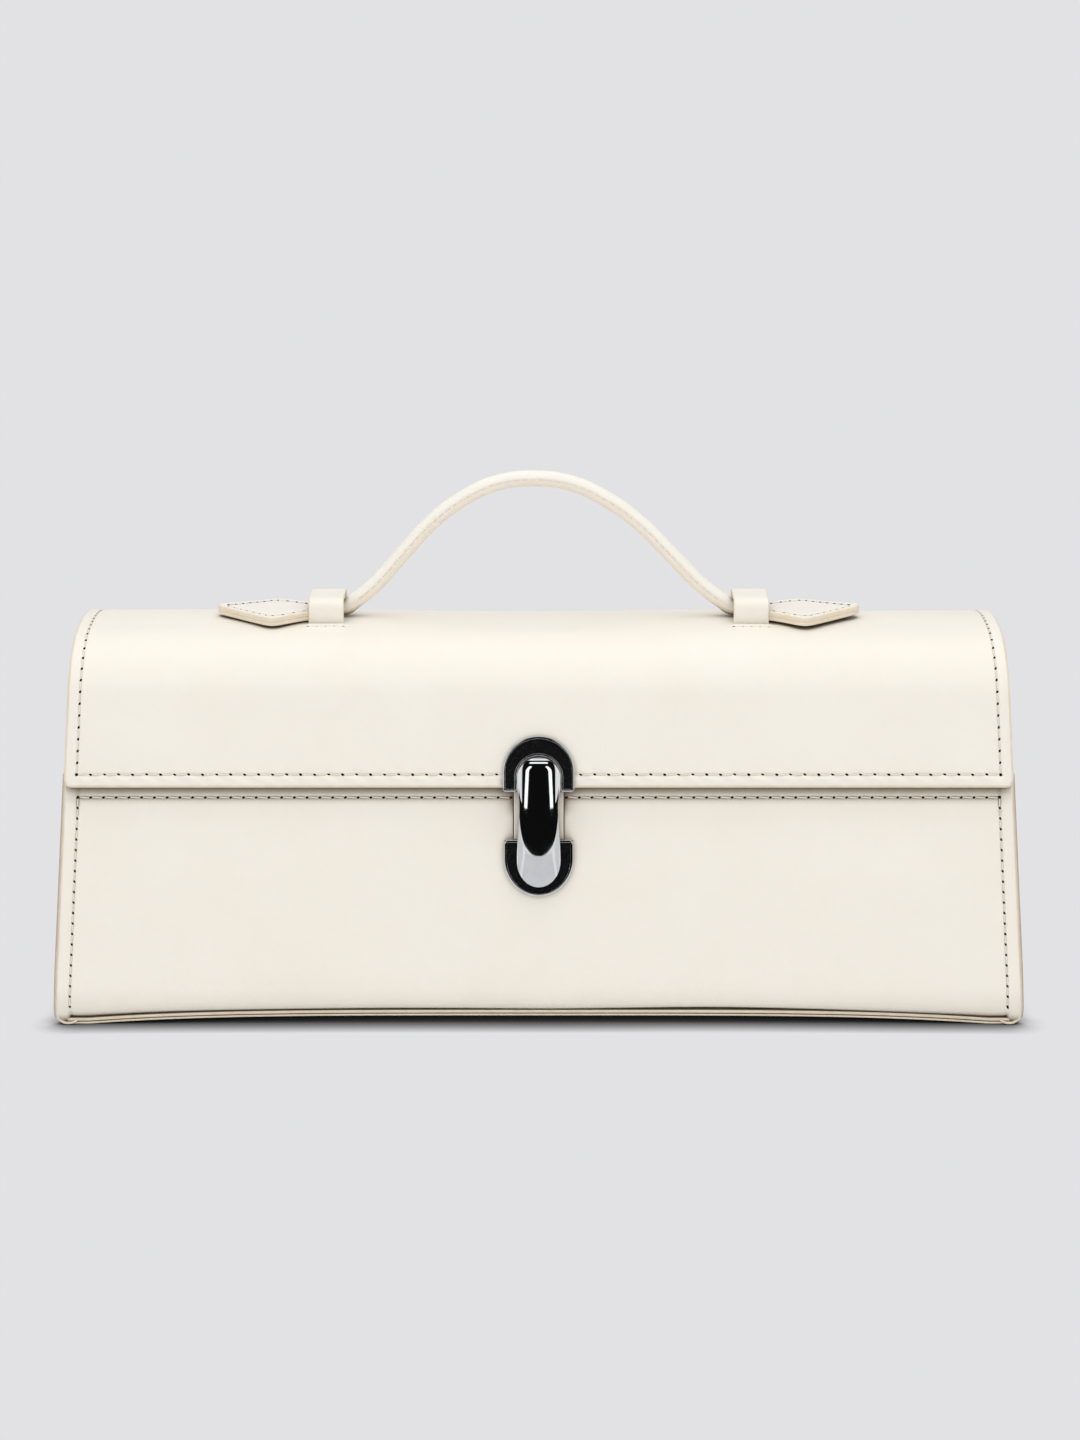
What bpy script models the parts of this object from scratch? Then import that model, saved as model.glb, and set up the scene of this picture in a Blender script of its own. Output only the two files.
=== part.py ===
"""Top handle bag: flap bag with a rolled handle, strap keepers and a slide clasp.

World frame in metres, +Z up, +X across the width, the front faces -Y.
Soft shells are laid out in a straight box space and then shaped by shaped():
the width narrows towards the top and the underside arches up in its middle.
Clasp parts are laid out in the front panel's own frame: u across, v up the
leaning panel from the floor, n out of the panel's outer face.
"""

import math

import bmesh
import bpy
from mathutils import Vector

# Outer sizes
BAG_WIDTH = 0.300
FRONT_LEAN = math.radians(9.5)
BACK_LEAN = math.radians(7.2)
FRONT_FOOT_Y = -0.04366
BACK_FOOT_Y = 0.04474
FLAP_TOP_Z = 0.1212
TAPER_INSET = 0.00645
TAPER_START_Z = 0.008
BASE_ARCH = 0.0027
ARCH_FADE_Z = 0.060
ARCH_POWER = 4
FOOT_PAD_LENGTH = 0.010
PANEL_CORNER = 0.010

# Leather build-up
PANEL_THICKNESS = 0.0014
LINING_THICKNESS = 0.0008
LAYER_GAP = 0.0003
LIP_GAP = 0.0005
BASE_LAYER = 0.0008
BASE_HALF_DEPTH = 0.0400
BOARD_THICKNESS = 0.0014
BOARD_HALF_DEPTH = 0.0322
BOARD_SIDE_MARGIN = 0.0007
BEND_RADIUS = 0.0045
LIP_LENGTH = 0.004
MOUTH_V = 0.0770
FACING_HEIGHT = 0.018
FACING_THICKNESS = 0.0010
GUSSET_INSET = 0.0057
GUSSET_THICKNESS = 0.0014
GUSSET_RIM_INSET = 0.0003
GUSSET_CLEARANCE = 0.0044
GUSSET_BACK_START = 0.0065
LINING_SIDE_GAP = 0.0004
POCKET_HALF_WIDTH = 0.062
POCKET_LOW_V = 0.030
POCKET_TOP_V = 0.084

# Flap
FLAP_STANDOFF = 0.0040
FLAP_EDGE_V = 0.0754
FLAP_LEATHER = 0.0011
FLAP_STIFFENER = 0.0005
FLAP_CORNER_RADIUS = 0.0025
TOP_RADIUS = 0.085
SHOULDER_RADIUS = 0.020
CUTTER_REACH = 0.020
HINGE_V = 0.0960
HINGE_GAP = 0.0003
STIFFENER_MARGIN = 0.006
STIFFENER_SIDE_MARGIN = 0.010
FLAP_LINING_MARGIN = 0.0004

# Handle, keepers and tabs
HANDLE_AXIS_HEIGHT = 0.0030
HANDLE_RADIUS = 0.0025
HANDLE_WALL = 0.0008
CORE_GAP = 0.0003
CORE_END_INSET = 0.0012
HANDLE_TAB_GAP = 0.0006
HANDLE_LEVEL_X = 0.0603
HANDLE_LEVEL_RISE = 0.0001
HANDLE_ROUTE = (
    (0.0575, 0.0021), (0.0545, 0.0043), (0.0500, 0.0082), (0.0450, 0.0136), (0.0401, 0.0190),
    (0.0355, 0.0240), (0.0307, 0.0284), (0.0259, 0.0322), (0.0166, 0.0376), (0.0080, 0.0403),
    (0.0000, 0.0409))
HANDLE_LEAN_X = -0.0017
HANDLE_SIDES = 16
CORE_SIDES = 10
KEEPER_X = 0.0662
KEEPER_WIDTH = 0.0110
KEEPER_LEATHER = 0.00095
KEEPER_HALF_SPAN = 0.0092
KEEPER_HEIGHT = 0.0075
KEEPER_CORNER = 0.0024
KEEPER_FOOT = 0.0040
SLOT_CLEARANCE = 0.0004
TAB_LAYER = 0.00125
TAB_GAP = 0.0003
TAB_TUCK = 0.0035
TAB_FACE_GAP = 0.0006
TAB_SHOULDER_RUN = 0.0104
TAB_FLARE = 1.1
TAB_POINT_RUN = 0.0178
TAB_END_HALF = 0.0079
TAB_WIDE_HALF = 0.0150
TAB_TIP_HALF = 0.0016
TAB_TIP_LIFT = 0.0013
TAB_LIFT_RUN = 0.016
TAB_VERTEX_STEP = 0.0005

# Clasp
PLATE_GAP = 0.0003
UPPER_OVERHANG = 0.0009
UPPER_HEIGHT = 0.0170
UPPER_HALF_WIDTH = 0.0110
UPPER_THICKNESS = 0.0016
UPPER_LEG = 0.00425
UPPER_CROWN = 0.0060
RIM_WIDTH = 0.0008
INLAY_DEPTH = 0.0009
INLAY_THICKNESS = 0.0006
INLAY_SIDE_GAP = 0.00012
LOWER_BOTTOM_V = 0.0417
LOWER_HEIGHT = 0.0174
LOWER_HALF_WIDTH = 0.0105
LOWER_THICKNESS = 0.0027
LOWER_ROUND_DEPTH = 0.0113
LANDING_SIDE_MARGIN = 0.0039
LANDING_LOW_MARGIN = 0.0029
NECK_SIDE_MARGIN = 0.0026
NECK_THICKNESS = 0.0010
NECK_EDGE_GAP = 0.0004
NECK_OVERLAP = 0.0020
WINDOW_HALF_WIDTH = 0.0031
WINDOW_LOW_MARGIN = 0.0078
WINDOW_LENGTH = 0.0145
LOCK_HOLE_SIDE_MARGIN = 0.0011
LOCK_HOLE_LOW_MARGIN = 0.0025
LOCK_HOLE_TOP_MARGIN = 0.0005
LOCK_BACKING_SIDE_MARGIN = 0.0069
LOCK_BACKING_LOW_MARGIN = 0.0065
LOCK_BACKING_TOP_MARGIN = 0.0045
LOCK_BACKING_DEPTH = 0.0028
LOCK_BACKING_THICKNESS = 0.0006
RIVET_RADIUS = 0.0008
RIVET_HOLE_RADIUS = 0.0011
RIVET_SINK = 0.0003
LOWER_RIVET_INSET = 0.0033
LOWER_RIVET_RISE = 0.0128
UPPER_RIVET_RISE = 0.0070
UPPER_BACKING_LOW_MARGIN = 0.0031
UPPER_BACKING_TOP_MARGIN = 0.0003
UPPER_BACKING_THICKNESS = 0.0006
SLIDER_SLOT_HALF_WIDTH = 0.0019
SLIDER_SLOT_LOW_MARGIN = 0.0032
SLIDER_SLOT_LENGTH = 0.0077
SHANK_CLEARANCE = 0.0003
SHANK_SIDE_CLEARANCE = 0.0004
SHANK_LENGTH = 0.0020
SHANK_BACK_N = -0.0002
SHANK_SINK = 0.0008
RETAINER_HALF_WIDTH = 0.0045
RETAINER_MARGIN = 0.0006
RETAINER_LENGTH = 0.0038
RETAINER_FRONT_N = -0.0005
RETAINER_BACK_N = -0.0011
PILL_FOOT_RISE = 0.0030
PILL_HEAD_INSET = 0.0064
PILL_BELLY_LENGTH = 0.0083
PILL_STEP_RISE = 0.0097
PILL_SLOPE_DROP = 0.0098
PILL_WAIST_RISE = 0.0017
PILL_HEAD_LENGTH = 0.0068
PILL_LOW_HALF = 0.00655
PILL_WAIST_HALF = 0.0059
PILL_HEAD_HALF = 0.0066
PILL_FACE_N = 0.0090
PILL_BOTTOM_N = 0.0046
PILL_CROWN_N = 0.0074
PILL_HEAD_ROUND = 0.0035
PILL_STEP_BLEND = 0.0002
PILL_LOW_UNDER_N = 0.0033
PILL_HIGH_UNDER_N = 0.0062
PILL_END_SHARE = 0.12
PILL_SLOPE_POWER = 1.6
PILL_SIDE_POWER = 0.7
PILL_CROWN_POWER = 0.85
PILL_FLANK_SHARE = 0.22
HOOK_RECESS_HALF_WIDTH = 0.0036
HOOK_RECESS_SHIFT = 0.0005
HOOK_RECESS_LENGTH = 0.0080
HOOK_RECESS_DEPTH = 0.0009
HOOK_FLANGE_THICKNESS = 0.0006
HOOK_SIDE_CLEARANCE = 0.0007
HOOK_END_CLEARANCE = 0.0003
HOOK_STEM_LENGTH = 0.0024
HOOK_TOE_REACH = 0.0013
HOOK_TOE_FRONT_N = -0.0011
HOOK_TOE_BACK_N = -0.0019
HOOK_GAP = 0.0002

# Mesh steps
TAB_SHOULDER_SHARES = (0.0, 0.22, 0.48, 0.72)
TAB_POINT_SHARES = (0.15, 0.38, 0.62, 0.84, 1.0)
TAB_COLUMNS = 6
PILL_LOW_SHARES = (0.0, 0.04, 0.12, 0.25, 0.42, 0.62, 0.82, 1.0)
PILL_NECK_SHARES = (0.33, 0.67)
PILL_TOP_SHARES = (0.0, 0.3, 0.5, 0.68, 0.82, 0.92, 0.98, 1.0)
PILL_SIDES = 14
PANEL_COLUMNS = 16
FLAP_COLUMNS = 14
LINE_ROWS = 4
BEND_ROWS = 6
ARC_ROWS = 9
MERGE_DISTANCE = 0.00001
SIDES = (("left", -1), ("right", 1))

HALF_WIDTH = BAG_WIDTH / 2
FOOT_PAD_START_X = HALF_WIDTH - FOOT_PAD_LENGTH
BOARD_HALF_WIDTH = HALF_WIDTH - BOARD_SIDE_MARGIN
GUSSET_X = HALF_WIDTH - GUSSET_INSET
GUSSET_RIM_X = HALF_WIDTH - GUSSET_RIM_INSET
LINING_HALF_WIDTH = GUSSET_X - LINING_SIDE_GAP
STIFFENER_HALF_WIDTH = HALF_WIDTH - STIFFENER_SIDE_MARGIN
KEEPER_FACE_X = KEEPER_X + KEEPER_WIDTH / 2
TAB_INNER_X = KEEPER_FACE_X - TAB_TUCK
TAB_NARROW_X = KEEPER_FACE_X + TAB_FACE_GAP
TAB_WIDE_X = TAB_NARROW_X + TAB_SHOULDER_RUN
TAB_TIP_X = TAB_WIDE_X + TAB_POINT_RUN
HANDLE_END_X = TAB_INNER_X - HANDLE_TAB_GAP
LOWER_TOP_V = LOWER_BOTTOM_V + LOWER_HEIGHT
LOWER_STRAIGHT_V = LOWER_BOTTOM_V + LOWER_ROUND_DEPTH
LOWER_LANDING_HALF = LOWER_HALF_WIDTH - LANDING_SIDE_MARGIN
LOWER_LANDING_BOTTOM_V = LOWER_BOTTOM_V + LANDING_LOW_MARGIN
NECK_HALF_WIDTH = LOWER_HALF_WIDTH - NECK_SIDE_MARGIN
NECK_TOP_V = FLAP_EDGE_V - NECK_EDGE_GAP
WINDOW_LOW_V = LOWER_BOTTOM_V + WINDOW_LOW_MARGIN
WINDOW_TOP_V = WINDOW_LOW_V + WINDOW_LENGTH
LOCK_HOLE_HALF_WIDTH = WINDOW_HALF_WIDTH + LOCK_HOLE_SIDE_MARGIN
LOCK_HOLE_LOW_V = WINDOW_LOW_V - LOCK_HOLE_LOW_MARGIN
LOCK_HOLE_TOP_V = WINDOW_TOP_V + LOCK_HOLE_TOP_MARGIN
LOCK_BACKING_HALF_WIDTH = WINDOW_HALF_WIDTH + LOCK_BACKING_SIDE_MARGIN
LOCK_BACKING_LOW_V = WINDOW_LOW_V - LOCK_BACKING_LOW_MARGIN
LOCK_BACKING_TOP_V = WINDOW_TOP_V + LOCK_BACKING_TOP_MARGIN
LOWER_RIVET_U = LOWER_HALF_WIDTH - LOWER_RIVET_INSET
LOWER_RIVET_V = LOWER_BOTTOM_V + LOWER_RIVET_RISE
UPPER_BOTTOM_V = FLAP_EDGE_V - UPPER_OVERHANG
UPPER_TOP_V = UPPER_BOTTOM_V + UPPER_HEIGHT
UPPER_OPENING_HALF = UPPER_HALF_WIDTH - UPPER_LEG
UPPER_OPENING_TOP_V = UPPER_TOP_V - UPPER_CROWN
UPPER_RIVET_U = UPPER_HALF_WIDTH - UPPER_LEG / 2
UPPER_RIVET_V = UPPER_BOTTOM_V + UPPER_RIVET_RISE
UPPER_BACKING_LOW_V = UPPER_BOTTOM_V + UPPER_BACKING_LOW_MARGIN
UPPER_BACKING_TOP_V = UPPER_TOP_V - UPPER_BACKING_TOP_MARGIN
SLIDER_SLOT_LOW_V = UPPER_BOTTOM_V + SLIDER_SLOT_LOW_MARGIN
SLIDER_SLOT_TOP_V = SLIDER_SLOT_LOW_V + SLIDER_SLOT_LENGTH
SHANK_HALF_WIDTH = SLIDER_SLOT_HALF_WIDTH - SHANK_SIDE_CLEARANCE
SHANK_LOW_V = SLIDER_SLOT_LOW_V + SHANK_CLEARANCE
SHANK_TOP_V = SHANK_LOW_V + SHANK_LENGTH
SLIDE_AXIS_V = SHANK_LOW_V + SHANK_LENGTH / 2
RETAINER_LOW_V = SHANK_LOW_V - RETAINER_MARGIN
RETAINER_TOP_V = RETAINER_LOW_V + RETAINER_LENGTH
PILL_BOTTOM_V = LOWER_BOTTOM_V + PILL_FOOT_RISE
PILL_TOP_V = UPPER_TOP_V - PILL_HEAD_INSET
PILL_BELLY_V = PILL_BOTTOM_V + PILL_BELLY_LENGTH
PILL_STEP_V = LOWER_TOP_V + PILL_STEP_RISE
PILL_SLOPE_V = PILL_STEP_V - PILL_SLOPE_DROP
PILL_WAIST_V = PILL_STEP_V + PILL_WAIST_RISE
PILL_HEAD_V = PILL_TOP_V - PILL_HEAD_LENGTH
HOOK_HALF_WIDTH = WINDOW_HALF_WIDTH - HOOK_SIDE_CLEARANCE
HOOK_STEM_LOW_V = WINDOW_LOW_V + HOOK_END_CLEARANCE
HOOK_STEM_TOP_V = HOOK_STEM_LOW_V + HOOK_STEM_LENGTH
HOOK_TOE_LOW_V = HOOK_STEM_LOW_V - HOOK_TOE_REACH
HOOK_RECESS_LOW_V = HOOK_TOE_LOW_V + HOOK_RECESS_SHIFT
HOOK_RECESS_TOP_V = HOOK_RECESS_LOW_V + HOOK_RECESS_LENGTH
PANEL_BOTTOM_Z = 2 * (BASE_LAYER + LAYER_GAP) + LAYER_GAP / 2
LINING_OFFSET = PANEL_THICKNESS + LAYER_GAP
INSIDE_OFFSET = LINING_OFFSET + LINING_THICKNESS + LAYER_GAP


def clear_scene():
    for item in list(bpy.data.objects):
        bpy.data.objects.remove(item, do_unlink=True)


def principled(name, rgb, roughness, metallic=0.0):
    made = bpy.data.materials.new(name)
    made.use_nodes = True
    shader = made.node_tree.nodes["Principled BSDF"]
    shader.inputs["Base Color"].default_value = (*rgb, 1.0)
    shader.inputs["Roughness"].default_value = roughness
    shader.inputs["Metallic"].default_value = metallic
    return made


def add_mesh(name, verts, faces, look, smooth=False):
    mesh = bpy.data.meshes.new(name)
    built = bmesh.new()
    points = [built.verts.new(co) for co in verts]
    for face in faces:
        built.faces.new([points[i] for i in face])
    bmesh.ops.remove_doubles(built, verts=built.verts, dist=MERGE_DISTANCE)
    bmesh.ops.recalc_face_normals(built, faces=built.faces)
    built.to_mesh(mesh)
    built.free()
    made = bpy.data.objects.new(name, mesh)
    bpy.context.scene.collection.objects.link(made)
    mesh.materials.append(look)
    for polygon in mesh.polygons:
        polygon.use_smooth = smooth
    return made


def join_cut(target, cutter, operation):
    """Apply one exact Boolean to the target and drop the helper solid."""
    step = target.modifiers.new(operation.title(), "BOOLEAN")
    step.operation = operation
    step.solver = "EXACT"
    step.object = cutter
    bpy.context.view_layer.update()
    graph = bpy.context.evaluated_depsgraph_get()
    result = bpy.data.meshes.new_from_object(target.evaluated_get(graph))
    target.modifiers.clear()
    target.data = result
    bpy.data.objects.remove(cutter, do_unlink=True)


def shaped(x, y, z):
    """Box space to world: taper of the width and arch of the underside."""
    climb = max(0.0, z - TAPER_START_Z) / (FLAP_TOP_Z - TAPER_START_Z)
    width_share = 1 - TAPER_INSET / HALF_WIDTH * climb
    fade = max(0.0, 1 - z / ARCH_FADE_Z)
    rise = 1 - min(1.0, abs(x) / FOOT_PAD_START_X) ** ARCH_POWER
    return Vector((x * width_share, y, z + BASE_ARCH * rise * fade))


def clasp_point(u, v, n):
    """Front panel frame to world."""
    y = FRONT_FOOT_Y + v * math.sin(FRONT_LEAN) - n * math.cos(FRONT_LEAN)
    z = v * math.cos(FRONT_LEAN) + n * math.sin(FRONT_LEAN)
    return Vector((u, y, z))


class Wall:
    """A leaning straight wall in the Y-Z plane: side is -1 front, +1 back."""

    def __init__(self, side, foot_y, lean, standoff=0.0):
        self.side = side
        self.lean = lean
        self.up = Vector((-side * math.sin(lean), math.cos(lean)))
        self.out = Vector((side * math.cos(lean), math.sin(lean)))
        self.foot = Vector((foot_y, 0.0)) + self.out * standoff

    def at(self, v):
        return self.foot + self.up * v

    def run(self, v_start, v_end, rows):
        steps = [v_start + (v_end - v_start) * i / rows for i in range(rows + 1)]
        return [(self.at(v), self.out) for v in steps]

    def bend(self, radius, bottom_z):
        """Centre of the tuck under the wall and the height where it starts."""
        start_v = (bottom_z + radius + radius * self.out.y) / self.up.y
        return self.at(start_v) - self.out * radius, start_v

    def shoulder(self, radius, top_radius, top_z):
        """Circle tangent to this wall and, from inside, to the top arc."""
        top_centre = Vector((0.0, top_z - top_radius))
        start = self.foot - self.out * radius - top_centre
        half_b = start.dot(self.up)
        rest = start.length_squared - (top_radius - radius) ** 2
        v = -half_b + math.sqrt(half_b ** 2 - rest)
        return self.at(v) - self.out * radius, v


def arc_points(centre, radius, start, end, rows):
    found = []
    for i in range(rows + 1):
        angle = start + (end - start) * i / rows
        normal = Vector((math.cos(angle), math.sin(angle)))
        found.append((centre + normal * radius, normal))
    return found


def angle_of(vector):
    return math.atan2(vector.y, vector.x) % math.tau


def join_paths(*pieces):
    path = []
    for piece in pieces:
        for point, normal in piece:
            if path and (path[-1][0] - point).length < MERGE_DISTANCE:
                continue
            path.append((point, normal))
    return path


def distances(path):
    run = [0.0]
    for before, after in zip(path, path[1:]):
        run.append(run[-1] + (after[0] - before[0]).length)
    return run


def trimmed(path, start, end):
    """The part of a path between two distances, with points put at both."""
    run = distances(path)
    kept = []
    for i in range(len(path) - 1):
        low, high = run[i], run[i + 1]
        for cut in (start, end):
            if low <= cut < high:
                share = (cut - low) / (high - low)
                point = path[i][0].lerp(path[i + 1][0], share)
                normal = path[i][1].lerp(path[i + 1][1], share).normalized()
                kept.append((cut, point, normal))
        if start < high < end:
            kept.append((high, *path[i + 1]))
    kept.sort(key=lambda item: item[0])
    return join_paths([(point, normal) for _, point, normal in kept])


FRONT = Wall(-1, FRONT_FOOT_Y, FRONT_LEAN)
FRONT_OUT = Wall(-1, FRONT_FOOT_Y, FRONT_LEAN, FLAP_STANDOFF)
BACK = Wall(1, BACK_FOOT_Y, BACK_LEAN)


def wall_path(wall, top_v, down_angle):
    centre, start_v = wall.bend(BEND_RADIUS, PANEL_BOTTOM_Z)
    first = angle_of(wall.out)
    if wall.side > 0:
        down_angle = down_angle - math.tau
    lip_end = centre.x - wall.side * LIP_LENGTH
    down = Vector((0.0, -1.0))
    lip = [
        (Vector((centre.x, PANEL_BOTTOM_Z)), down),
        (Vector((lip_end, PANEL_BOTTOM_Z)), down),
    ]
    return join_paths(
        wall.run(top_v, start_v, LINE_ROWS),
        arc_points(centre, BEND_RADIUS, first, down_angle, BEND_ROWS),
        lip,
    )


def flap_path():
    """Outer face of the flap, from its front edge over the top to the hinge."""
    front_centre, front_v = FRONT_OUT.shoulder(SHOULDER_RADIUS, TOP_RADIUS, FLAP_TOP_Z)
    back_centre, back_v = BACK.shoulder(SHOULDER_RADIUS, TOP_RADIUS, FLAP_TOP_Z)
    top_centre = Vector((0.0, FLAP_TOP_Z - TOP_RADIUS))
    front_turn = angle_of(front_centre - top_centre)
    back_turn = angle_of(back_centre - top_centre)
    corner = [
        FRONT_OUT.run(FLAP_EDGE_V, FLAP_EDGE_V + FLAP_CORNER_RADIUS, LINE_ROWS),
        FRONT_OUT.run(FLAP_EDGE_V + FLAP_CORNER_RADIUS, front_v, LINE_ROWS),
    ]
    return join_paths(
        *corner,
        arc_points(front_centre, SHOULDER_RADIUS, angle_of(FRONT_OUT.out), front_turn, ARC_ROWS),
        arc_points(top_centre, TOP_RADIUS, front_turn, back_turn, ARC_ROWS),
        arc_points(back_centre, SHOULDER_RADIUS, back_turn, angle_of(BACK.out), ARC_ROWS),
        BACK.run(back_v, HINGE_V + HINGE_GAP, 2),
    )


def column_shares(half_width, columns):
    """Places across a sheet, one pair of them where the foot pads start."""
    if half_width <= FOOT_PAD_START_X:
        return [2 * i / columns - 1 for i in range(columns + 1)]
    inner = FOOT_PAD_START_X / half_width
    steps = columns - 2
    return [-1.0] + [inner * (2 * i / steps - 1) for i in range(steps + 1)] + [1.0]


def corner_cut(way, corner):
    """How far a round corner takes the edge in, at a distance along it."""
    if way >= corner:
        return 0.0
    return corner - math.sqrt(corner ** 2 - (corner - way) ** 2)


def sheet(name, path, outer, inner, half_width, columns, look, corner=0.0, tail_corner=0.0):
    """A bent sheet between two depths below the path, shaped in world."""
    run = distances(path)
    shares = column_shares(half_width, columns)
    rows = []
    for depth in (outer, inner):
        layer = []
        for (point, normal), way in zip(path, run):
            cut = corner_cut(way, corner) + corner_cut(run[-1] - way, tail_corner)
            reach = half_width - cut
            place = point - normal * depth
            layer.append([shaped(reach * share, place.x, place.y) for share in shares])
        rows.append(layer)
    return grid_solid(name, rows, look)


def grid_solid(name, layers, look, smooth=False):
    """Close two equal grids of points into one solid."""
    count = len(layers[0])
    across = len(layers[0][0])
    verts = [co for layer in layers for row in layer for co in row]

    def index(side, row, column):
        return (side * count + row) * across + column

    faces = []
    for row in range(count - 1):
        for column in range(across - 1):
            for side in (0, 1):
                faces.append((
                    index(side, row, column), index(side, row + 1, column),
                    index(side, row + 1, column + 1), index(side, row, column + 1),
                ))
        for column in (0, across - 1):
            faces.append((
                index(0, row, column), index(0, row + 1, column),
                index(1, row + 1, column), index(1, row, column),
            ))
    for column in range(across - 1):
        for row in (0, count - 1):
            faces.append((
                index(0, row, column), index(0, row, column + 1),
                index(1, row, column + 1), index(1, row, column),
            ))
    return add_mesh(name, verts, faces, look, smooth)


def flat_sheet(name, y_low, y_high, z_low, z_high, half_width, look):
    """A level layer of the base."""
    xs = [half_width * share for share in column_shares(half_width, PANEL_COLUMNS)]
    layers = []
    for z in (z_low, z_high):
        layers.append([[shaped(x, y, z) for x in xs] for y in (y_low, y_high)])
    return grid_solid(name, layers, look)


def prism(name, outline, near, far, place, look, smooth=False):
    """Extrude a closed 2-D outline between two depths; place maps to world."""
    count = len(outline)
    verts = [place(a, b, near) for a, b in outline]
    verts += [place(a, b, far) for a, b in outline]
    faces = [tuple(range(count)), tuple(range(count, 2 * count))]
    for i in range(count):
        after = (i + 1) % count
        faces.append((i, after, count + after, count + i))
    return add_mesh(name, verts, faces, look, smooth)


def rectangle(a_low, a_high, b_low, b_high):
    return [(a_low, b_low), (a_high, b_low), (a_high, b_high), (a_low, b_high)]


def circle(a, b, radius, sides=12):
    turns = [math.tau * i / sides for i in range(sides)]
    return [(a + radius * math.cos(t), b + radius * math.sin(t)) for t in turns]


def clasp_box(name, u_half, v_low, v_high, n_low, n_high, look=None):
    outline = rectangle(-u_half, u_half, v_low, v_high)
    return prism(name, outline, n_low, n_high, clasp_point, look or helper_look())


def helper_look():
    found = bpy.data.materials.get("helper")
    return found or principled("helper", (0.5, 0.5, 0.5), 0.5)


def offset_points(path, depth):
    return [point - normal * depth for point, normal in path]


def make_body(look):
    """Panels, base, gussets and lining of the open box."""
    down = math.radians(270)
    front = wall_path(FRONT, MOUTH_V, down)
    back = wall_path(BACK, HINGE_V - HINGE_GAP, down)
    panels = {
        name: sheet(name, path, 0.0, PANEL_THICKNESS, HALF_WIDTH, PANEL_COLUMNS,
                    look["leather"], tail_corner=PANEL_CORNER)
        for name, path in (("front_panel", front), ("back_panel", back))
    }
    flat_sheet("base_panel", -BASE_HALF_DEPTH, BASE_HALF_DEPTH,
               0.0, BASE_LAYER, HALF_WIDTH, look["leather"])
    flat_sheet("base_reinforcement", -BASE_HALF_DEPTH, BASE_HALF_DEPTH,
               BASE_LAYER + LAYER_GAP, 2 * BASE_LAYER + LAYER_GAP, HALF_WIDTH, look["edge"])
    flat_sheet("base_board", -BOARD_HALF_DEPTH, BOARD_HALF_DEPTH,
               PANEL_BOTTOM_Z, PANEL_BOTTOM_Z + BOARD_THICKNESS,
               BOARD_HALF_WIDTH, look["board"])
    make_lining(panels, front, back, look)
    make_gussets(front, back, look)
    return panels


def make_lining(panels, front, back, look):
    top = FACING_HEIGHT
    front_run = distances(front)[-1] - LIP_LENGTH
    back_run = distances(back)[-1] - LIP_LENGTH
    outer = LINING_OFFSET
    sheet("front_facing", trimmed(front, 0.0, top), outer, outer + FACING_THICKNESS,
          LINING_HALF_WIDTH, PANEL_COLUMNS, look["leather"])
    panels["front_lining"] = sheet(
        "front_lining", trimmed(front, top + LIP_GAP, front_run), outer,
        outer + LINING_THICKNESS, LINING_HALF_WIDTH, PANEL_COLUMNS, look["lining"])
    sheet("back_lining", trimmed(back, 0.0, back_run), outer,
          outer + LINING_THICKNESS, LINING_HALF_WIDTH, PANEL_COLUMNS, look["lining"])
    low = PANEL_BOTTOM_Z + LINING_OFFSET
    front_y = FRONT.bend(BEND_RADIUS, PANEL_BOTTOM_Z)[0].x + LIP_GAP
    back_y = BACK.bend(BEND_RADIUS, PANEL_BOTTOM_Z)[0].x - LIP_GAP
    flat_sheet("base_lining", front_y, back_y, low, low + LINING_THICKNESS,
               LINING_HALF_WIDTH, look["lining"])
    hinge_run = HINGE_V - HINGE_GAP
    pocket = trimmed(back, hinge_run - POCKET_TOP_V, hinge_run - POCKET_LOW_V)
    sheet("slip_pocket", pocket, INSIDE_OFFSET, INSIDE_OFFSET + LINING_THICKNESS,
          POCKET_HALF_WIDTH, PANEL_COLUMNS, look["lining"])


def inside_outline(front, back, depth, crown):
    """Closed side profile of the box: panels at one depth, crown under the flap."""
    lip = LIP_LENGTH
    front_part = trimmed(front, 0.0, distances(front)[-1] - lip)
    back_part = trimmed(back, GUSSET_BACK_START, distances(back)[-1] - lip)
    points = offset_points(front_part, depth)
    points += list(reversed(offset_points(back_part, depth)))
    points += list(reversed(offset_points(crown, depth + GUSSET_CLEARANCE - LINING_OFFSET)))
    return [(point.x, point.y) for point in points]


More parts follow.
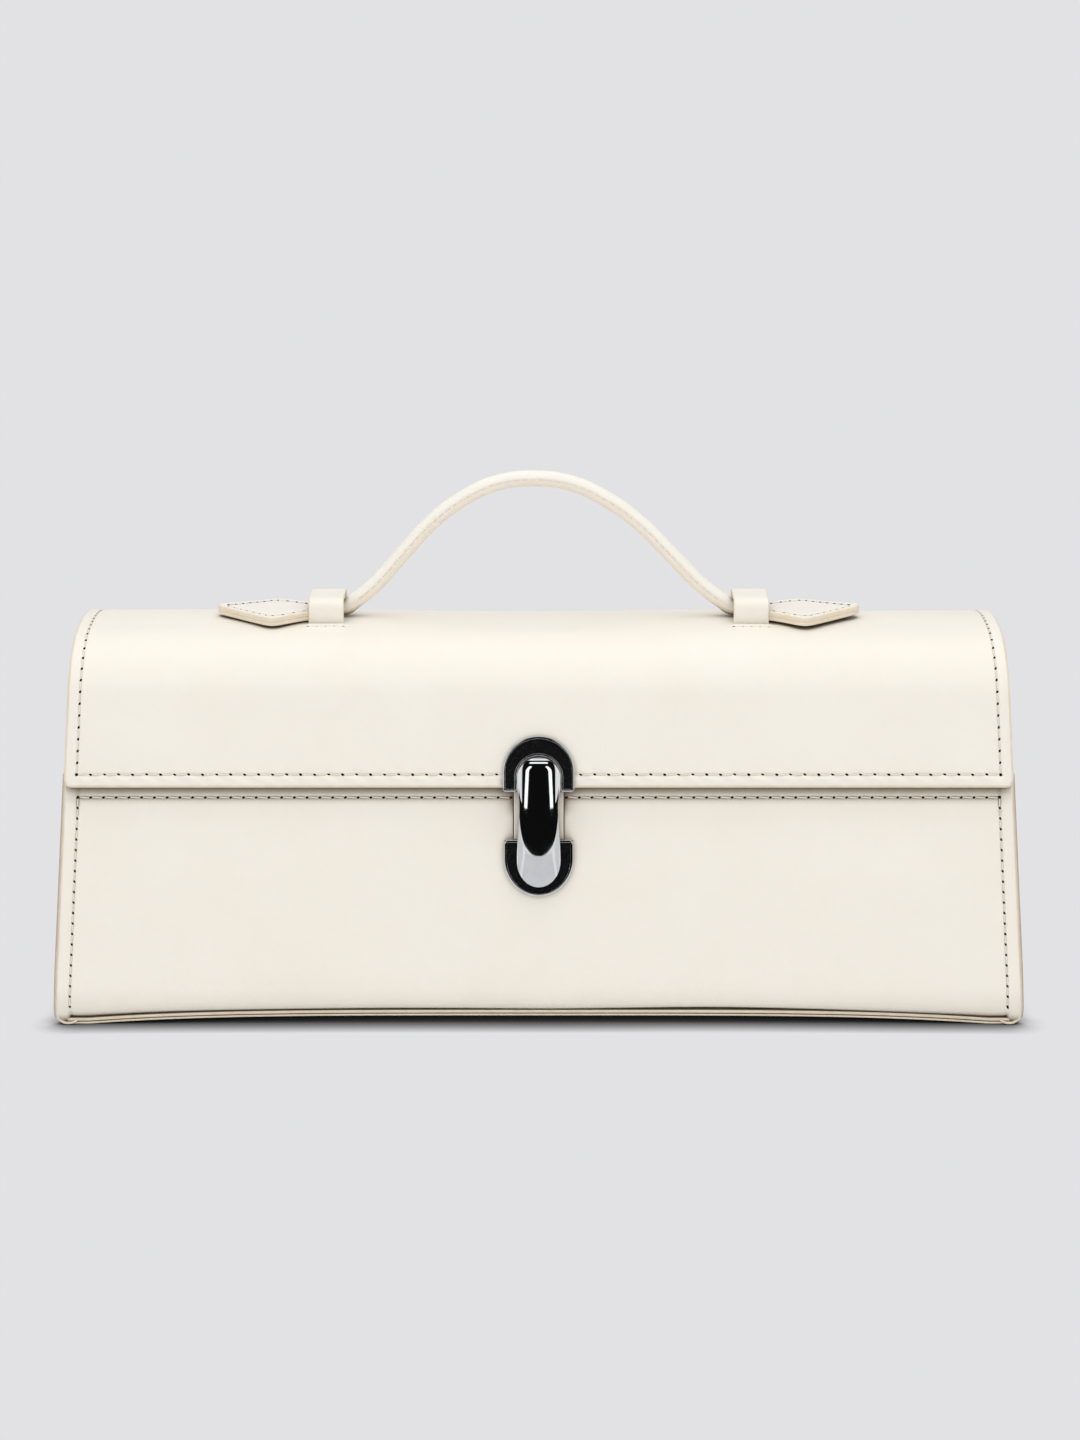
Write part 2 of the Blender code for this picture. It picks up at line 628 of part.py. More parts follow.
def make_gussets(front, back, look):
    whole = flap_path()
    length = distances(whole)[-1]
    crown = trimmed(whole, FLAP_STANDOFF, length - FLAP_STANDOFF)
    outline = inside_outline(front, back, LINING_OFFSET, crown)
    lining_outline = inside_outline(front, back, INSIDE_OFFSET, crown)
    rim_path = offset_points(trimmed(front, 0.0, distances(front)[-1] - LIP_LENGTH),
                             LINING_OFFSET + GUSSET_THICKNESS)
    rim_back = offset_points(trimmed(back, 0.0, distances(back)[-1] - LIP_LENGTH),
                             LINING_OFFSET + GUSSET_THICKNESS)
    beyond = BAG_WIDTH
    hollow = [(p.x, p.y) for p in rim_path] + [(p.x, p.y) for p in reversed(rim_back)]
    hollow += [(beyond, rim_back[0].y), (beyond, beyond), (-beyond, beyond),
               (-beyond, rim_path[0].y)]
    for side_name, side in SIDES:
        def place(y, z, x, side=side):
            return shaped(side * x, y, z)

        tray = prism(f"gusset_{side_name}", outline, GUSSET_X, GUSSET_RIM_X,
                     place, look["leather"])
        cutter = prism("gusset_hollow", hollow, GUSSET_X + GUSSET_THICKNESS,
                       GUSSET_RIM_X + GUSSET_THICKNESS, place, look["leather"])
        join_cut(tray, cutter, "DIFFERENCE")
        far = GUSSET_X - LAYER_GAP
        prism(f"gusset_lining_{side_name}", lining_outline, far - LINING_THICKNESS,
              far, place, look["lining"])


def make_flap(look):
    path = flap_path()
    length = distances(path)[-1]
    outer = sheet("flap_outer", path, 0.0, FLAP_LEATHER, HALF_WIDTH, FLAP_COLUMNS,
                  look["leather"], FLAP_CORNER_RADIUS)
    stiff_depth = FLAP_LEATHER + LAYER_GAP
    stiffener = sheet(
        "flap_stiffener", trimmed(path, STIFFENER_MARGIN, length - STIFFENER_MARGIN),
        stiff_depth, stiff_depth + FLAP_STIFFENER, STIFFENER_HALF_WIDTH,
        FLAP_COLUMNS, look["board"])
    lining_depth = stiff_depth + FLAP_STIFFENER + LAYER_GAP
    lining = sheet("flap_lining", path, lining_depth, lining_depth + LINING_THICKNESS,
                   HALF_WIDTH - FLAP_LINING_MARGIN, FLAP_COLUMNS, look["lining"],
                   FLAP_CORNER_RADIUS)
    return {"outer": outer, "stiffener": stiffener, "lining": lining}


def keeper_outline(extra=0.0):
    """Side profile of a strap keeper, its feet turned out under the flap."""
    half = KEEPER_LEATHER / 2 + extra
    span = KEEPER_HALF_SPAN - KEEPER_LEATHER / 2
    top = FLAP_TOP_Z + KEEPER_HEIGHT - KEEPER_LEATHER / 2
    inner = KEEPER_CORNER
    foot_depth = FLAP_LEATHER + LAYER_GAP + FLAP_STIFFENER / 2
    side = []
    turn = math.asin(span / TOP_RADIUS)
    far = turn + KEEPER_FOOT / TOP_RADIUS
    for angle in (far, turn):
        radius = TOP_RADIUS - foot_depth
        normal = Vector((math.sin(angle), math.cos(angle)))
        side.append((normal * radius + Vector((0, FLAP_TOP_Z - TOP_RADIUS)), FLAP_STIFFENER / 2))
    side[-1] = (Vector((span, side[-1][0].y)), FLAP_STIFFENER / 2)
    bend = [(Vector((span, top - inner)), half)]
    for i in range(1, BEND_ROWS + 1):
        angle = math.radians(90) * i / BEND_ROWS
        bend.append((Vector((span - inner + inner * math.cos(angle),
                             top - inner + inner * math.sin(angle))), half))
    run = side + bend
    mirrored = [(Vector((-point.x, point.y)), half_t) for point, half_t in reversed(run)]
    return ribbon(run + mirrored, extra)


def ribbon(run, extra):
    """Closed outline round a 2-D centre line with a half thickness at each point."""
    left, right = [], []
    for i, (point, half) in enumerate(run):
        before = run[max(i - 1, 0)][0]
        after = run[min(i + 1, len(run) - 1)][0]
        first = (point - before).normalized() if i else (after - point).normalized()
        last = (after - point).normalized() if i < len(run) - 1 else first
        mean = (first + last).normalized()
        side = Vector((-mean.y, mean.x))
        stretch = 1 / max(mean.dot(first), 0.5)
        width = (half + extra * (half < KEEPER_LEATHER / 2)) * stretch
        left.append(point + side * width)
        right.append(point - side * width)
    closed = left + list(reversed(right))
    return [(point.x, point.y) for point in closed]


def make_keepers(flap, look):
    for side_name, side in SIDES:
        def place(y, z, x, side=side):
            return Vector((side * x, y, z))

        near = KEEPER_X - KEEPER_WIDTH / 2
        far = KEEPER_X + KEEPER_WIDTH / 2
        prism(f"keeper_{side_name}", keeper_outline(), near, far, place, look["leather"])
        for face in (-1, 1):
            y = face * (KEEPER_HALF_SPAN - KEEPER_LEATHER / 2)
            reach = KEEPER_LEATHER / 2 + SLOT_CLEARANCE
            slot = rectangle(y - reach, y + reach, FLAP_TOP_Z - CUTTER_REACH,
                             FLAP_TOP_Z + KEEPER_HEIGHT)
            cutter = prism("slot", slot, near - SLOT_CLEARANCE, far + SLOT_CLEARANCE,
                           place, look["leather"])
            join_cut(flap["outer"], cutter, "DIFFERENCE")
        foot_reach = KEEPER_HALF_SPAN + KEEPER_FOOT + SLOT_CLEARANCE
        window = rectangle(-foot_reach, foot_reach, FLAP_TOP_Z - CUTTER_REACH,
                           FLAP_TOP_Z + KEEPER_HEIGHT)
        cutter = prism("window", window, near - SLOT_CLEARANCE, far + SLOT_CLEARANCE,
                       place, look["leather"])
        join_cut(flap["stiffener"], cutter, "DIFFERENCE")


def tab_half_width(x):
    if x < TAB_WIDE_X:
        share = max(0.0, x - TAB_NARROW_X) / (TAB_WIDE_X - TAB_NARROW_X)
        return TAB_END_HALF + (TAB_WIDE_HALF - TAB_END_HALF) * share ** TAB_FLARE
    share = (x - TAB_WIDE_X) / (TAB_TIP_X - TAB_WIDE_X)
    return TAB_WIDE_HALF + (TAB_TIP_HALF - TAB_WIDE_HALF) * share


def make_tabs(look):
    """Diamond strap ends of two layers, resting on the ridge of the flap."""
    stations = [TAB_INNER_X]
    stations += [TAB_NARROW_X + TAB_SHOULDER_RUN * share for share in TAB_SHOULDER_SHARES]
    stations += [TAB_WIDE_X - TAB_VERTEX_STEP, TAB_WIDE_X, TAB_WIDE_X + TAB_VERTEX_STEP]
    stations += [TAB_WIDE_X + TAB_POINT_RUN * share for share in TAB_POINT_SHARES]
    lift_start = TAB_TIP_X - TAB_LIFT_RUN
    across = TAB_COLUMNS
    for side_name, side in SIDES:
        for layer, part_name in enumerate(("tab_lining", "tab_top")):
            low = FLAP_TOP_Z + TAB_GAP + layer * (TAB_LAYER + TAB_GAP)
            layers = []
            for z in (low, low + TAB_LAYER):
                rows = []
                for x in stations:
                    half = tab_half_width(min(x, TAB_TIP_X))
                    share = max(0.0, x - lift_start) / TAB_LIFT_RUN
                    rise = TAB_TIP_LIFT * share ** 2
                    rows.append([
                        Vector((side * x, half * (2 * i / across - 1), z + rise))
                        for i in range(across + 1)
                    ])
                layers.append(rows)
            look_name = "leather" if layer else "edge"
            grid_solid(f"{part_name}_{side_name}", layers, look[look_name])


def handle_route():
    """Centre line of the handle from the left keeper over to the right one."""
    axis_z = FLAP_TOP_Z + HANDLE_AXIS_HEIGHT
    half = [(HANDLE_END_X, 0.0), ((HANDLE_END_X + HANDLE_LEVEL_X) / 2, 0.0)]
    half += [(HANDLE_LEVEL_X, HANDLE_LEVEL_RISE)] + list(HANDLE_ROUTE)
    apex = HANDLE_ROUTE[-1][1]
    left = [Vector((-x + HANDLE_LEAN_X * rise / apex, 0.0, axis_z + rise)) for x, rise in half]
    right = [Vector((x + HANDLE_LEAN_X * rise / apex, 0.0, axis_z + rise)) for x, rise in half]
    return smooth_line(left + list(reversed(right[:-1])))


def smooth_line(points, steps=3):
    """Catmull-Rom line through the points, with steps between each pair."""
    line = []
    for i in range(len(points) - 1):
        p0 = points[max(i - 1, 0)]
        p1, p2 = points[i], points[i + 1]
        p3 = points[min(i + 2, len(points) - 1)]
        for j in range(steps):
            t = j / steps
            line.append(0.5 * (2 * p1 + (p2 - p0) * t
                               + (2 * p0 - 5 * p1 + 4 * p2 - p3) * t ** 2
                               + (3 * p1 - p0 - 3 * p2 + p3) * t ** 3))
    line.append(points[-1])
    return line


def ring(points, index, radius, sides):
    before = points[max(index - 1, 0)]
    after = points[min(index + 1, len(points) - 1)]
    along = (after - before).normalized()
    across = Vector((0.0, 1.0, 0.0))
    lift = along.cross(across)
    turns = [math.tau * i / sides for i in range(sides)]
    return [points[index] + radius * (across * math.cos(t) + lift * math.sin(t)) for t in turns]


def tube(name, points, radius, sides, look, bore=None):
    """A solid or bored round along a line in the X-Z plane."""
    count = len(points)
    verts, faces = [], []
    skins = [radius] if bore is None else [radius, bore]
    for skin in skins:
        start = len(verts)
        for i in range(count):
            verts += ring(points, i, skin, sides)
        for i in range(count - 1):
            for j in range(sides):
                after = (j + 1) % sides
                a, b = start + i * sides, start + (i + 1) * sides
                faces.append((a + j, b + j, b + after, a + after))
    if bore is None:
        faces.append(tuple(range(sides)))
        faces.append(tuple(range((count - 1) * sides, count * sides)))
    else:
        shift = count * sides
        for end in (0, (count - 1) * sides):
            for j in range(sides):
                after = (j + 1) % sides
                faces.append((end + j, end + after, shift + end + after, shift + end + j))
    return add_mesh(name, verts, faces, look, smooth=True)


def make_handle(look):
    route = handle_route()
    bore = HANDLE_RADIUS - HANDLE_WALL
    tube("handle_wrap", route, HANDLE_RADIUS, HANDLE_SIDES, look["leather"], bore)
    core_line = [point.copy() for point in route]
    core_line[0].x += CORE_END_INSET
    core_line[-1].x -= CORE_END_INSET
    tube("handle_core", core_line, bore - CORE_GAP, CORE_SIDES, look["core"])


def arch_outline(half, bottom_v, top_v, steps=18):
    """Straight sides closed by a half round at the top."""
    centre_v = top_v - half
    points = [(half, bottom_v)]
    for i in range(steps + 1):
        angle = math.pi * i / steps
        points.append((half * math.cos(angle), centre_v + half * math.sin(angle)))
    points.append((-half, bottom_v))
    return points


def cup_outline(half, bottom_v, straight_v, top_v, steps=18):
    """Straight top closed by a half ellipse at the bottom."""
    depth = straight_v - bottom_v
    points = [(half, top_v)]
    for i in range(steps + 1):
        angle = -math.pi * i / steps
        points.append((half * math.cos(angle), straight_v + depth * math.sin(angle)))
    points.append((-half, top_v))
    return points


def horseshoe(outer_half, outer_top, inner_half, inner_top, bottom_v):
    outer = arch_outline(outer_half, bottom_v, outer_top)
    inner = arch_outline(inner_half, bottom_v, inner_top)
    return outer + list(reversed(inner))


def cup_ring(outer_half, outer_bottom, inner_half, inner_bottom, top_v):
    outer = cup_outline(outer_half, outer_bottom, LOWER_STRAIGHT_V, top_v)
    inner = cup_outline(inner_half, inner_bottom, LOWER_STRAIGHT_V, top_v)
    return outer + list(reversed(inner))


def rivets(name, half_u, v, n_low, n_high, look):
    """One pin on each side that holds a plate to its backing."""
    for side_name, side in SIDES:
        outline = circle(side * half_u, v, RIVET_RADIUS)
        prism(f"{name}_{side_name}", outline, n_low, n_high, clasp_point, look)


def punch(target, half_u, v, n_low, n_high):
    for _, side in SIDES:
        cutter = prism("punch", circle(side * half_u, v, RIVET_HOLE_RADIUS), n_low, n_high,
                       clasp_point, helper_look())
        join_cut(target, cutter, "DIFFERENCE")


def make_upper_plate(flap, look):
    low = FLAP_STANDOFF + PLATE_GAP
    high = low + UPPER_THICKNESS
    outline = horseshoe(UPPER_HALF_WIDTH, UPPER_TOP_V, UPPER_OPENING_HALF,
                        UPPER_OPENING_TOP_V, UPPER_BOTTOM_V)
    plate = prism("clasp_upper_plate", outline, low, high, clasp_point, look["metal"])

    def inlay_shape(gap):
        rim = RIM_WIDTH + gap
        return horseshoe(UPPER_HALF_WIDTH - rim, UPPER_TOP_V - rim,
                         UPPER_OPENING_HALF + rim, UPPER_OPENING_TOP_V + rim,
                         UPPER_BOTTOM_V + rim)

    recess = prism("recess", inlay_shape(0.0), high - INLAY_DEPTH, high + INLAY_DEPTH,
                   clasp_point, look["metal"])
    join_cut(plate, recess, "DIFFERENCE")
    inlay_low = high - INLAY_THICKNESS
    prism("clasp_upper_inlay", inlay_shape(INLAY_SIDE_GAP), inlay_low, high,
          clasp_point, look["enamel"])
    back_high = FLAP_STANDOFF - flap_thickness() - PLATE_GAP
    back_low = back_high - UPPER_BACKING_THICKNESS
    backing = clasp_box("clasp_upper_backing", UPPER_HALF_WIDTH, UPPER_BACKING_LOW_V,
                        UPPER_BACKING_TOP_V, back_low, back_high, look["metal"])
    slot = clasp_box("slot", SLIDER_SLOT_HALF_WIDTH, UPPER_BACKING_LOW_V - PLATE_GAP,
                     SLIDER_SLOT_TOP_V, back_low - PLATE_GAP, back_high + PLATE_GAP)
    join_cut(backing, slot, "DIFFERENCE")
    rivets("clasp_upper_rivet", UPPER_RIVET_U, UPPER_RIVET_V,
           back_high + RIVET_SINK / 2, low - RIVET_SINK / 2, look["metal"])
    for part in flap.values():
        slot = clasp_box("slot", SLIDER_SLOT_HALF_WIDTH, SLIDER_SLOT_LOW_V,
                         SLIDER_SLOT_TOP_V, -UPPER_THICKNESS, high)
        join_cut(part, slot, "DIFFERENCE")
        punch(part, UPPER_RIVET_U, UPPER_RIVET_V, -UPPER_THICKNESS, high)


def flap_thickness():
    return FLAP_LEATHER + FLAP_STIFFENER + LINING_THICKNESS + 2 * LAYER_GAP


def make_lower_plate(panels, look):
    low = PLATE_GAP
    high = low + LOWER_THICKNESS
    outline = cup_outline(LOWER_HALF_WIDTH, LOWER_BOTTOM_V, LOWER_STRAIGHT_V, LOWER_TOP_V)
    plate = prism("clasp_lower_plate", outline, low, high, clasp_point, look["metal"])
    neck = clasp_box("neck", NECK_HALF_WIDTH, LOWER_TOP_V - NECK_OVERLAP, NECK_TOP_V,
                     low, low + NECK_THICKNESS, look["metal"])
    join_cut(plate, neck, "UNION")

    def inlay_shape(gap):
        rim = RIM_WIDTH + gap
        return cup_ring(LOWER_HALF_WIDTH - rim, LOWER_BOTTOM_V + rim,
                        LOWER_LANDING_HALF + gap, LOWER_LANDING_BOTTOM_V - gap,
                        LOWER_TOP_V - rim)

    recess = prism("recess", inlay_shape(0.0), high - INLAY_DEPTH, high + INLAY_DEPTH,
                   clasp_point, look["metal"])
    join_cut(plate, recess, "DIFFERENCE")
    window = clasp_box("window", WINDOW_HALF_WIDTH, WINDOW_LOW_V, WINDOW_TOP_V,
                       low - PLATE_GAP, high + PLATE_GAP)
    join_cut(plate, window, "DIFFERENCE")
    prism("clasp_lower_inlay", inlay_shape(INLAY_SIDE_GAP), high - INLAY_THICKNESS, high,
          clasp_point, look["enamel"])
    back = -LOCK_BACKING_DEPTH
    outline = rectangle(-LOCK_BACKING_HALF_WIDTH, LOCK_BACKING_HALF_WIDTH,
                        LOCK_BACKING_LOW_V, LOCK_BACKING_TOP_V)
    prism("clasp_lower_backing", outline, back - LOCK_BACKING_THICKNESS, back,
          clasp_point, look["metal"])
    rivets("clasp_lower_rivet", LOWER_RIVET_U, LOWER_RIVET_V,
           back + RIVET_SINK / 2, low - RIVET_SINK / 2, look["metal"])
    for name in ("front_panel", "front_lining"):
        hole = clasp_box("hole", LOCK_HOLE_HALF_WIDTH, LOCK_HOLE_LOW_V, LOCK_HOLE_TOP_V,
                         back, high)
        join_cut(panels[name], hole, "DIFFERENCE")
        punch(panels[name], LOWER_RIVET_U, LOWER_RIVET_V, back, high)


def pill_half_width(v):
    if v < PILL_BELLY_V:
        share = (PILL_BELLY_V - v) / (PILL_BELLY_V - PILL_BOTTOM_V)
        return PILL_LOW_HALF * math.sqrt(max(1 - share ** 2, PILL_END_SHARE ** 2))
    if v > PILL_HEAD_V:
        share = (v - PILL_HEAD_V) / (PILL_TOP_V - PILL_HEAD_V)
        return PILL_HEAD_HALF * math.sqrt(max(1 - share ** 2, PILL_END_SHARE ** 2))
    if v < PILL_WAIST_V:
        low, wide, start = PILL_BELLY_V, PILL_LOW_HALF, PILL_WAIST_V
    else:
        low, wide, start = PILL_HEAD_V, PILL_HEAD_HALF, PILL_WAIST_V
    share = (v - start) / (low - start)
    ease = share * share * (3 - 2 * share)
    return PILL_WAIST_HALF + (wide - PILL_WAIST_HALF) * ease


def pill_face(v):
    if v < PILL_SLOPE_V:
        share = (PILL_SLOPE_V - v) / (PILL_SLOPE_V - PILL_BOTTOM_V)
        return PILL_FACE_N + (PILL_BOTTOM_N - PILL_FACE_N) * share ** PILL_SLOPE_POWER
    start = PILL_TOP_V - PILL_HEAD_ROUND
    if v > start:
        share = (v - start) / PILL_HEAD_ROUND
        drop = 1 - math.sqrt(max(0.0, 1 - share ** 2))
        return PILL_FACE_N + (PILL_CROWN_N - PILL_FACE_N) * drop
    return PILL_FACE_N


def make_slider(look):
    """Long rounded slider, its shank through the flap and its hook below."""
    low_run = [PILL_BOTTOM_V + (PILL_BELLY_V - PILL_BOTTOM_V) * s for s in PILL_LOW_SHARES]
    mid_run = [(PILL_BELLY_V + PILL_SLOPE_V) / 2, PILL_SLOPE_V,
               (PILL_SLOPE_V + PILL_STEP_V) / 2, PILL_STEP_V - PILL_STEP_BLEND,
               PILL_STEP_V + PILL_STEP_BLEND, PILL_WAIST_V]
    mid_run += [PILL_WAIST_V + (PILL_HEAD_V - PILL_WAIST_V) * s for s in PILL_NECK_SHARES]
    top_run = [PILL_HEAD_V + (PILL_TOP_V - PILL_HEAD_V) * s for s in PILL_TOP_SHARES]
    sections = []
    for v in low_run + mid_run + top_run:
        half = pill_half_width(v)
        face = pill_face(v)
        under = PILL_LOW_UNDER_N if v < PILL_STEP_V else PILL_HIGH_UNDER_N
        rise = face - under
        section = []
        for i in range(PILL_SIDES + 1):
            angle = math.pi * i / PILL_SIDES
            side_share = math.copysign(abs(math.cos(angle)) ** PILL_SIDE_POWER,
                                       math.cos(angle))
            crown = math.sin(angle) ** PILL_CROWN_POWER if 0 < i < PILL_SIDES else 0.0
            share = PILL_FLANK_SHARE + (1 - PILL_FLANK_SHARE) * crown
            section.append((half * side_share, under + rise * share))
        section.append((-half, under))
        section.append((half, under))
        sections.append([clasp_point(u, v, n) for u, n in section])
    pill = loft("clasp_slider", sections, look["metal"])
    shank = clasp_box("shank", SHANK_HALF_WIDTH, SHANK_LOW_V, SHANK_TOP_V,
                      SHANK_BACK_N, PILL_HIGH_UNDER_N + SHANK_SINK, look["metal"])
    join_cut(pill, shank, "UNION")
    recess = clasp_box("recess", HOOK_RECESS_HALF_WIDTH, HOOK_RECESS_LOW_V,
                       HOOK_RECESS_TOP_V, PILL_LOW_UNDER_N - HOOK_RECESS_DEPTH,
                       PILL_LOW_UNDER_N + HOOK_RECESS_DEPTH, look["metal"])
    join_cut(pill, recess, "DIFFERENCE")
    clasp_box("slider_retainer", RETAINER_HALF_WIDTH, RETAINER_LOW_V, RETAINER_TOP_V,
              RETAINER_BACK_N, RETAINER_FRONT_N, look["metal"])
    make_hook(look)


def make_hook(look):
    """Flange in the slider's recess, stem through the window, toe behind its rim."""
    flange_n = PILL_LOW_UNDER_N + HOOK_GAP
    flange_top = flange_n + HOOK_FLANGE_THICKNESS
    outline = [
        (HOOK_RECESS_LOW_V + HOOK_GAP, flange_top),
        (HOOK_RECESS_LOW_V + HOOK_GAP, flange_n),
        (HOOK_STEM_LOW_V, flange_n),
        (HOOK_STEM_LOW_V, HOOK_TOE_FRONT_N),
        (HOOK_TOE_LOW_V, HOOK_TOE_FRONT_N),
        (HOOK_TOE_LOW_V, HOOK_TOE_BACK_N),
        (HOOK_STEM_TOP_V, HOOK_TOE_BACK_N),
        (HOOK_STEM_TOP_V, flange_n),
        (HOOK_RECESS_TOP_V - HOOK_GAP, flange_n),
        (HOOK_RECESS_TOP_V - HOOK_GAP, flange_top),
    ]

    def place(v, n, u):
        return clasp_point(u, v, n)

    prism("slider_hook", outline, -HOOK_HALF_WIDTH, HOOK_HALF_WIDTH, place, look["metal"])


def loft(name, sections, look):
    count = len(sections[0])
    verts = [co for section in sections for co in section]
    faces = [tuple(range(count)),
             tuple(range((len(sections) - 1) * count, len(sections) * count))]
    for row in range(len(sections) - 1):
        for i in range(count):
            after = (i + 1) % count
            a, b = row * count, (row + 1) * count
            faces.append((a + i, a + after, b + after, b + i))
    return add_mesh(name, verts, faces, look)


def group_under(empty_name, place, children, parent=None):
    """Put an empty on a joint axis and hang the moving pieces under it."""
    pivot = bpy.data.objects.new(empty_name, None)
    bpy.context.scene.collection.objects.link(pivot)
    pivot.location = place if parent is None else place - parent[1]
    if parent is not None:
        pivot.parent = parent[0]
    for child_name in children:
        child = bpy.data.objects[child_name]
        child.parent = pivot
        child.location = -place
    return pivot, place


def name_materials():
    """Give every piece its own copy of its finish."""
    for item in bpy.context.scene.objects:
        if item.type != "MESH":
            continue
        base = item.data.materials[0]
        own = base.copy()
        own.name = f"{item.name}_finish"
        item.data.materials.clear()
        item.data.materials.append(own)


def build():
    clear_scene()
    look = {
        "leather": principled("leather", (0.90, 0.86, 0.77), 0.48),
        "edge": principled("edge_paint", (0.78, 0.69, 0.55), 0.42),
        "lining": principled("lining", (0.74, 0.66, 0.54), 0.80),
        "board": principled("board", (0.52, 0.42, 0.30), 0.85),
        "core": principled("core", (0.80, 0.76, 0.66), 0.90),
        "metal": principled("polished_metal", (0.80, 0.81, 0.82), 0.08, 1.0),
        "enamel": principled("enamel", (0.012, 0.012, 0.013), 0.12),
    }
    panels = make_body(look)
    flap = make_flap(look)
    make_keepers(flap, look)
    make_tabs(look)
    make_handle(look)
    make_upper_plate(flap, look)
    make_lower_plate(panels, look)
    make_slider(look)
    hinge_at = BACK.at(HINGE_V)
    hinge = Vector((0.0, hinge_at.x, hinge_at.y))
    sides = [name for name, _ in SIDES]
    riding = ["flap_outer", "flap_stiffener", "flap_lining", "clasp_upper_plate",
              "clasp_upper_inlay", "clasp_upper_backing"]
    for part in ("keeper", "tab_top", "tab_lining", "clasp_upper_rivet"):
        riding += [f"{part}_{name}" for name in sides]
    flap_group = group_under("flap_hinge_axis", hinge, riding)
    handle_axis = Vector((0.0, 0.0, FLAP_TOP_Z + HANDLE_AXIS_HEIGHT))
    group_under("handle_tilt_axis", handle_axis, ["handle_wrap", "handle_core"], flap_group)
    slide_at = clasp_point(0.0, SLIDE_AXIS_V, PILL_HIGH_UNDER_N)
    group_under("clasp_slide_axis", slide_at,
                ["clasp_slider", "slider_hook", "slider_retainer"], flap_group)
    name_materials()


build()
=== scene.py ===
"""Looks of a cream leather top handle bag: shells, seams, stitching, strap, clasp and light.

Soft shells are laid out in a straight box space and brought to their real place by shaped(),
as in the solids: the width narrows towards the top and the underside arches up in its middle.
Clasp parts are laid out in the front panel's own frame: u across, v up the leaning panel from
the floor, n out of the panel's outer face.
"""

import math
from dataclasses import dataclass

import bmesh
import bpy
import numpy as np
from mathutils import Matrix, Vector, noise


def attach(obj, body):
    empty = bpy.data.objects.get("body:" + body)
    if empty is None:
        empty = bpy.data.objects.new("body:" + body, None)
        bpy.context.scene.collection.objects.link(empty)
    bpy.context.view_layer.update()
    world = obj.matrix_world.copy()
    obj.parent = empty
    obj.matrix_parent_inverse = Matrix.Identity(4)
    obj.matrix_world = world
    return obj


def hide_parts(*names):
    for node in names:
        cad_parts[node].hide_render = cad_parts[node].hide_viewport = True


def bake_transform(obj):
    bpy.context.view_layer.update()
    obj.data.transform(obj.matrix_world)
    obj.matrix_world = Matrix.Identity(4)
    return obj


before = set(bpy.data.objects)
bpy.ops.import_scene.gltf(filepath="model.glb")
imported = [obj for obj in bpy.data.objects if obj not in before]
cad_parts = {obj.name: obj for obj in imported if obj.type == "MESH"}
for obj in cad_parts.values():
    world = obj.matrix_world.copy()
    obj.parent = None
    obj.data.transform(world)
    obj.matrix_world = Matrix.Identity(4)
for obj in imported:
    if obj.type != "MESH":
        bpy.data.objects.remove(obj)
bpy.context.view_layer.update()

# Box of the bag, as in the solids
HALF_WIDTH = 0.150
FRONT_LEAN = math.radians(9.5)
BACK_LEAN = math.radians(7.2)
FRONT_FOOT_Y = -0.04366
BACK_FOOT_Y = 0.04474
FLAP_TOP_Z = 0.1212
TAPER_INSET = 0.00645
TAPER_START_Z = 0.008
BASE_ARCH = 0.0027
ARCH_FADE_Z = 0.060
ARCH_POWER = 4
FOOT_PAD_START_X = 0.140
TUCK_TOP_Z = 0.018
TUCK_DEPTH = 0.0028
TUCK_FULL_Y = 0.030
BASE_LAYER = 0.0008
BASE_HALF_DEPTH = 0.0400
LAYER_GAP = 0.0003
PANEL_BOTTOM_Z = 2 * (BASE_LAYER + LAYER_GAP) + LAYER_GAP / 2
PANEL_CORNER = 0.0060
PANEL_LEATHER = 0.0014
LINING = 0.0008
BEND_RADIUS = 0.0045
PANEL_BEND_RADIUS = 0.0020
FOOT_WIDTH = 0.0046
FOOT_BLEND = 0.0014
FOOT_FADE = 0.012
FOOT_FLOOR_GAP = 0.0006
RIM_FLOOR_GAP = 0.0001
RIM_CORNER = 0.0032
RIM_INSET_LIMIT = 0.0024
RIM_WIDTH_LOW = 0.0063
RIM_BLEND = 0.0006
GUSSET_BOTTOM_Z = PANEL_BOTTOM_Z + 0.0019
LIP_LENGTH = 0.004
MOUTH_V = 0.0770
HINGE_V = 0.0960
FLAP_STANDOFF = 0.0040
FLAP_EDGE_V = 0.0754
FLAP_THICKNESS = 0.0030
FLAP_CORNER = 0.0025
TOP_RADIUS = 0.085
SHOULDER_RADIUS = 0.020

# Seams
EDGE_ROUND = 0.00045
STITCH_WIDTH = 0.00052
HOLE_LENGTH = 0.00112
HOLE_HEIGHT = 0.00016
HOLE_TILT = 0.45
HOLE_WIDTH = 0.00080
HOLE_LIFT = 0.00003
NORMAL_LIFT = 0.001
STITCH_SIDES = 8
FLAP_STITCH_INSET = 0.0041
FLAP_STITCH_PITCH = 0.0037
FLAP_ROW_PITCH = 0.0044
FRONT_STITCH_INSET = 0.0043
FRONT_STITCH_PITCH = 0.0040
SIDE_STITCH_PITCH = 0.0033
SEAM_DIP = 0.00026
SEAM_DIP_WIDTH = 0.0006
SEAM_STATIONS = (-2.2, -1.5, -1.0, -0.65, -0.3, 0.0, 0.3, 0.65, 1.0, 1.5, 2.2)

GRID_STEP = 0.0015
FINE_STEP = 0.0006
SIDES = (("left", -1), ("right", 1))


# Arithmetic on arrays

def unit(values):
    return np.clip(values, 0, 1)


def between(value, start, end):
    """Share of the run from start to end, held at 0 and 1."""
    return unit((value - start) / (end - start))


def eased(share):
    return share * share * (3 - 2 * share)


def stacked(*parts):
    return np.stack(parts, axis=-1)


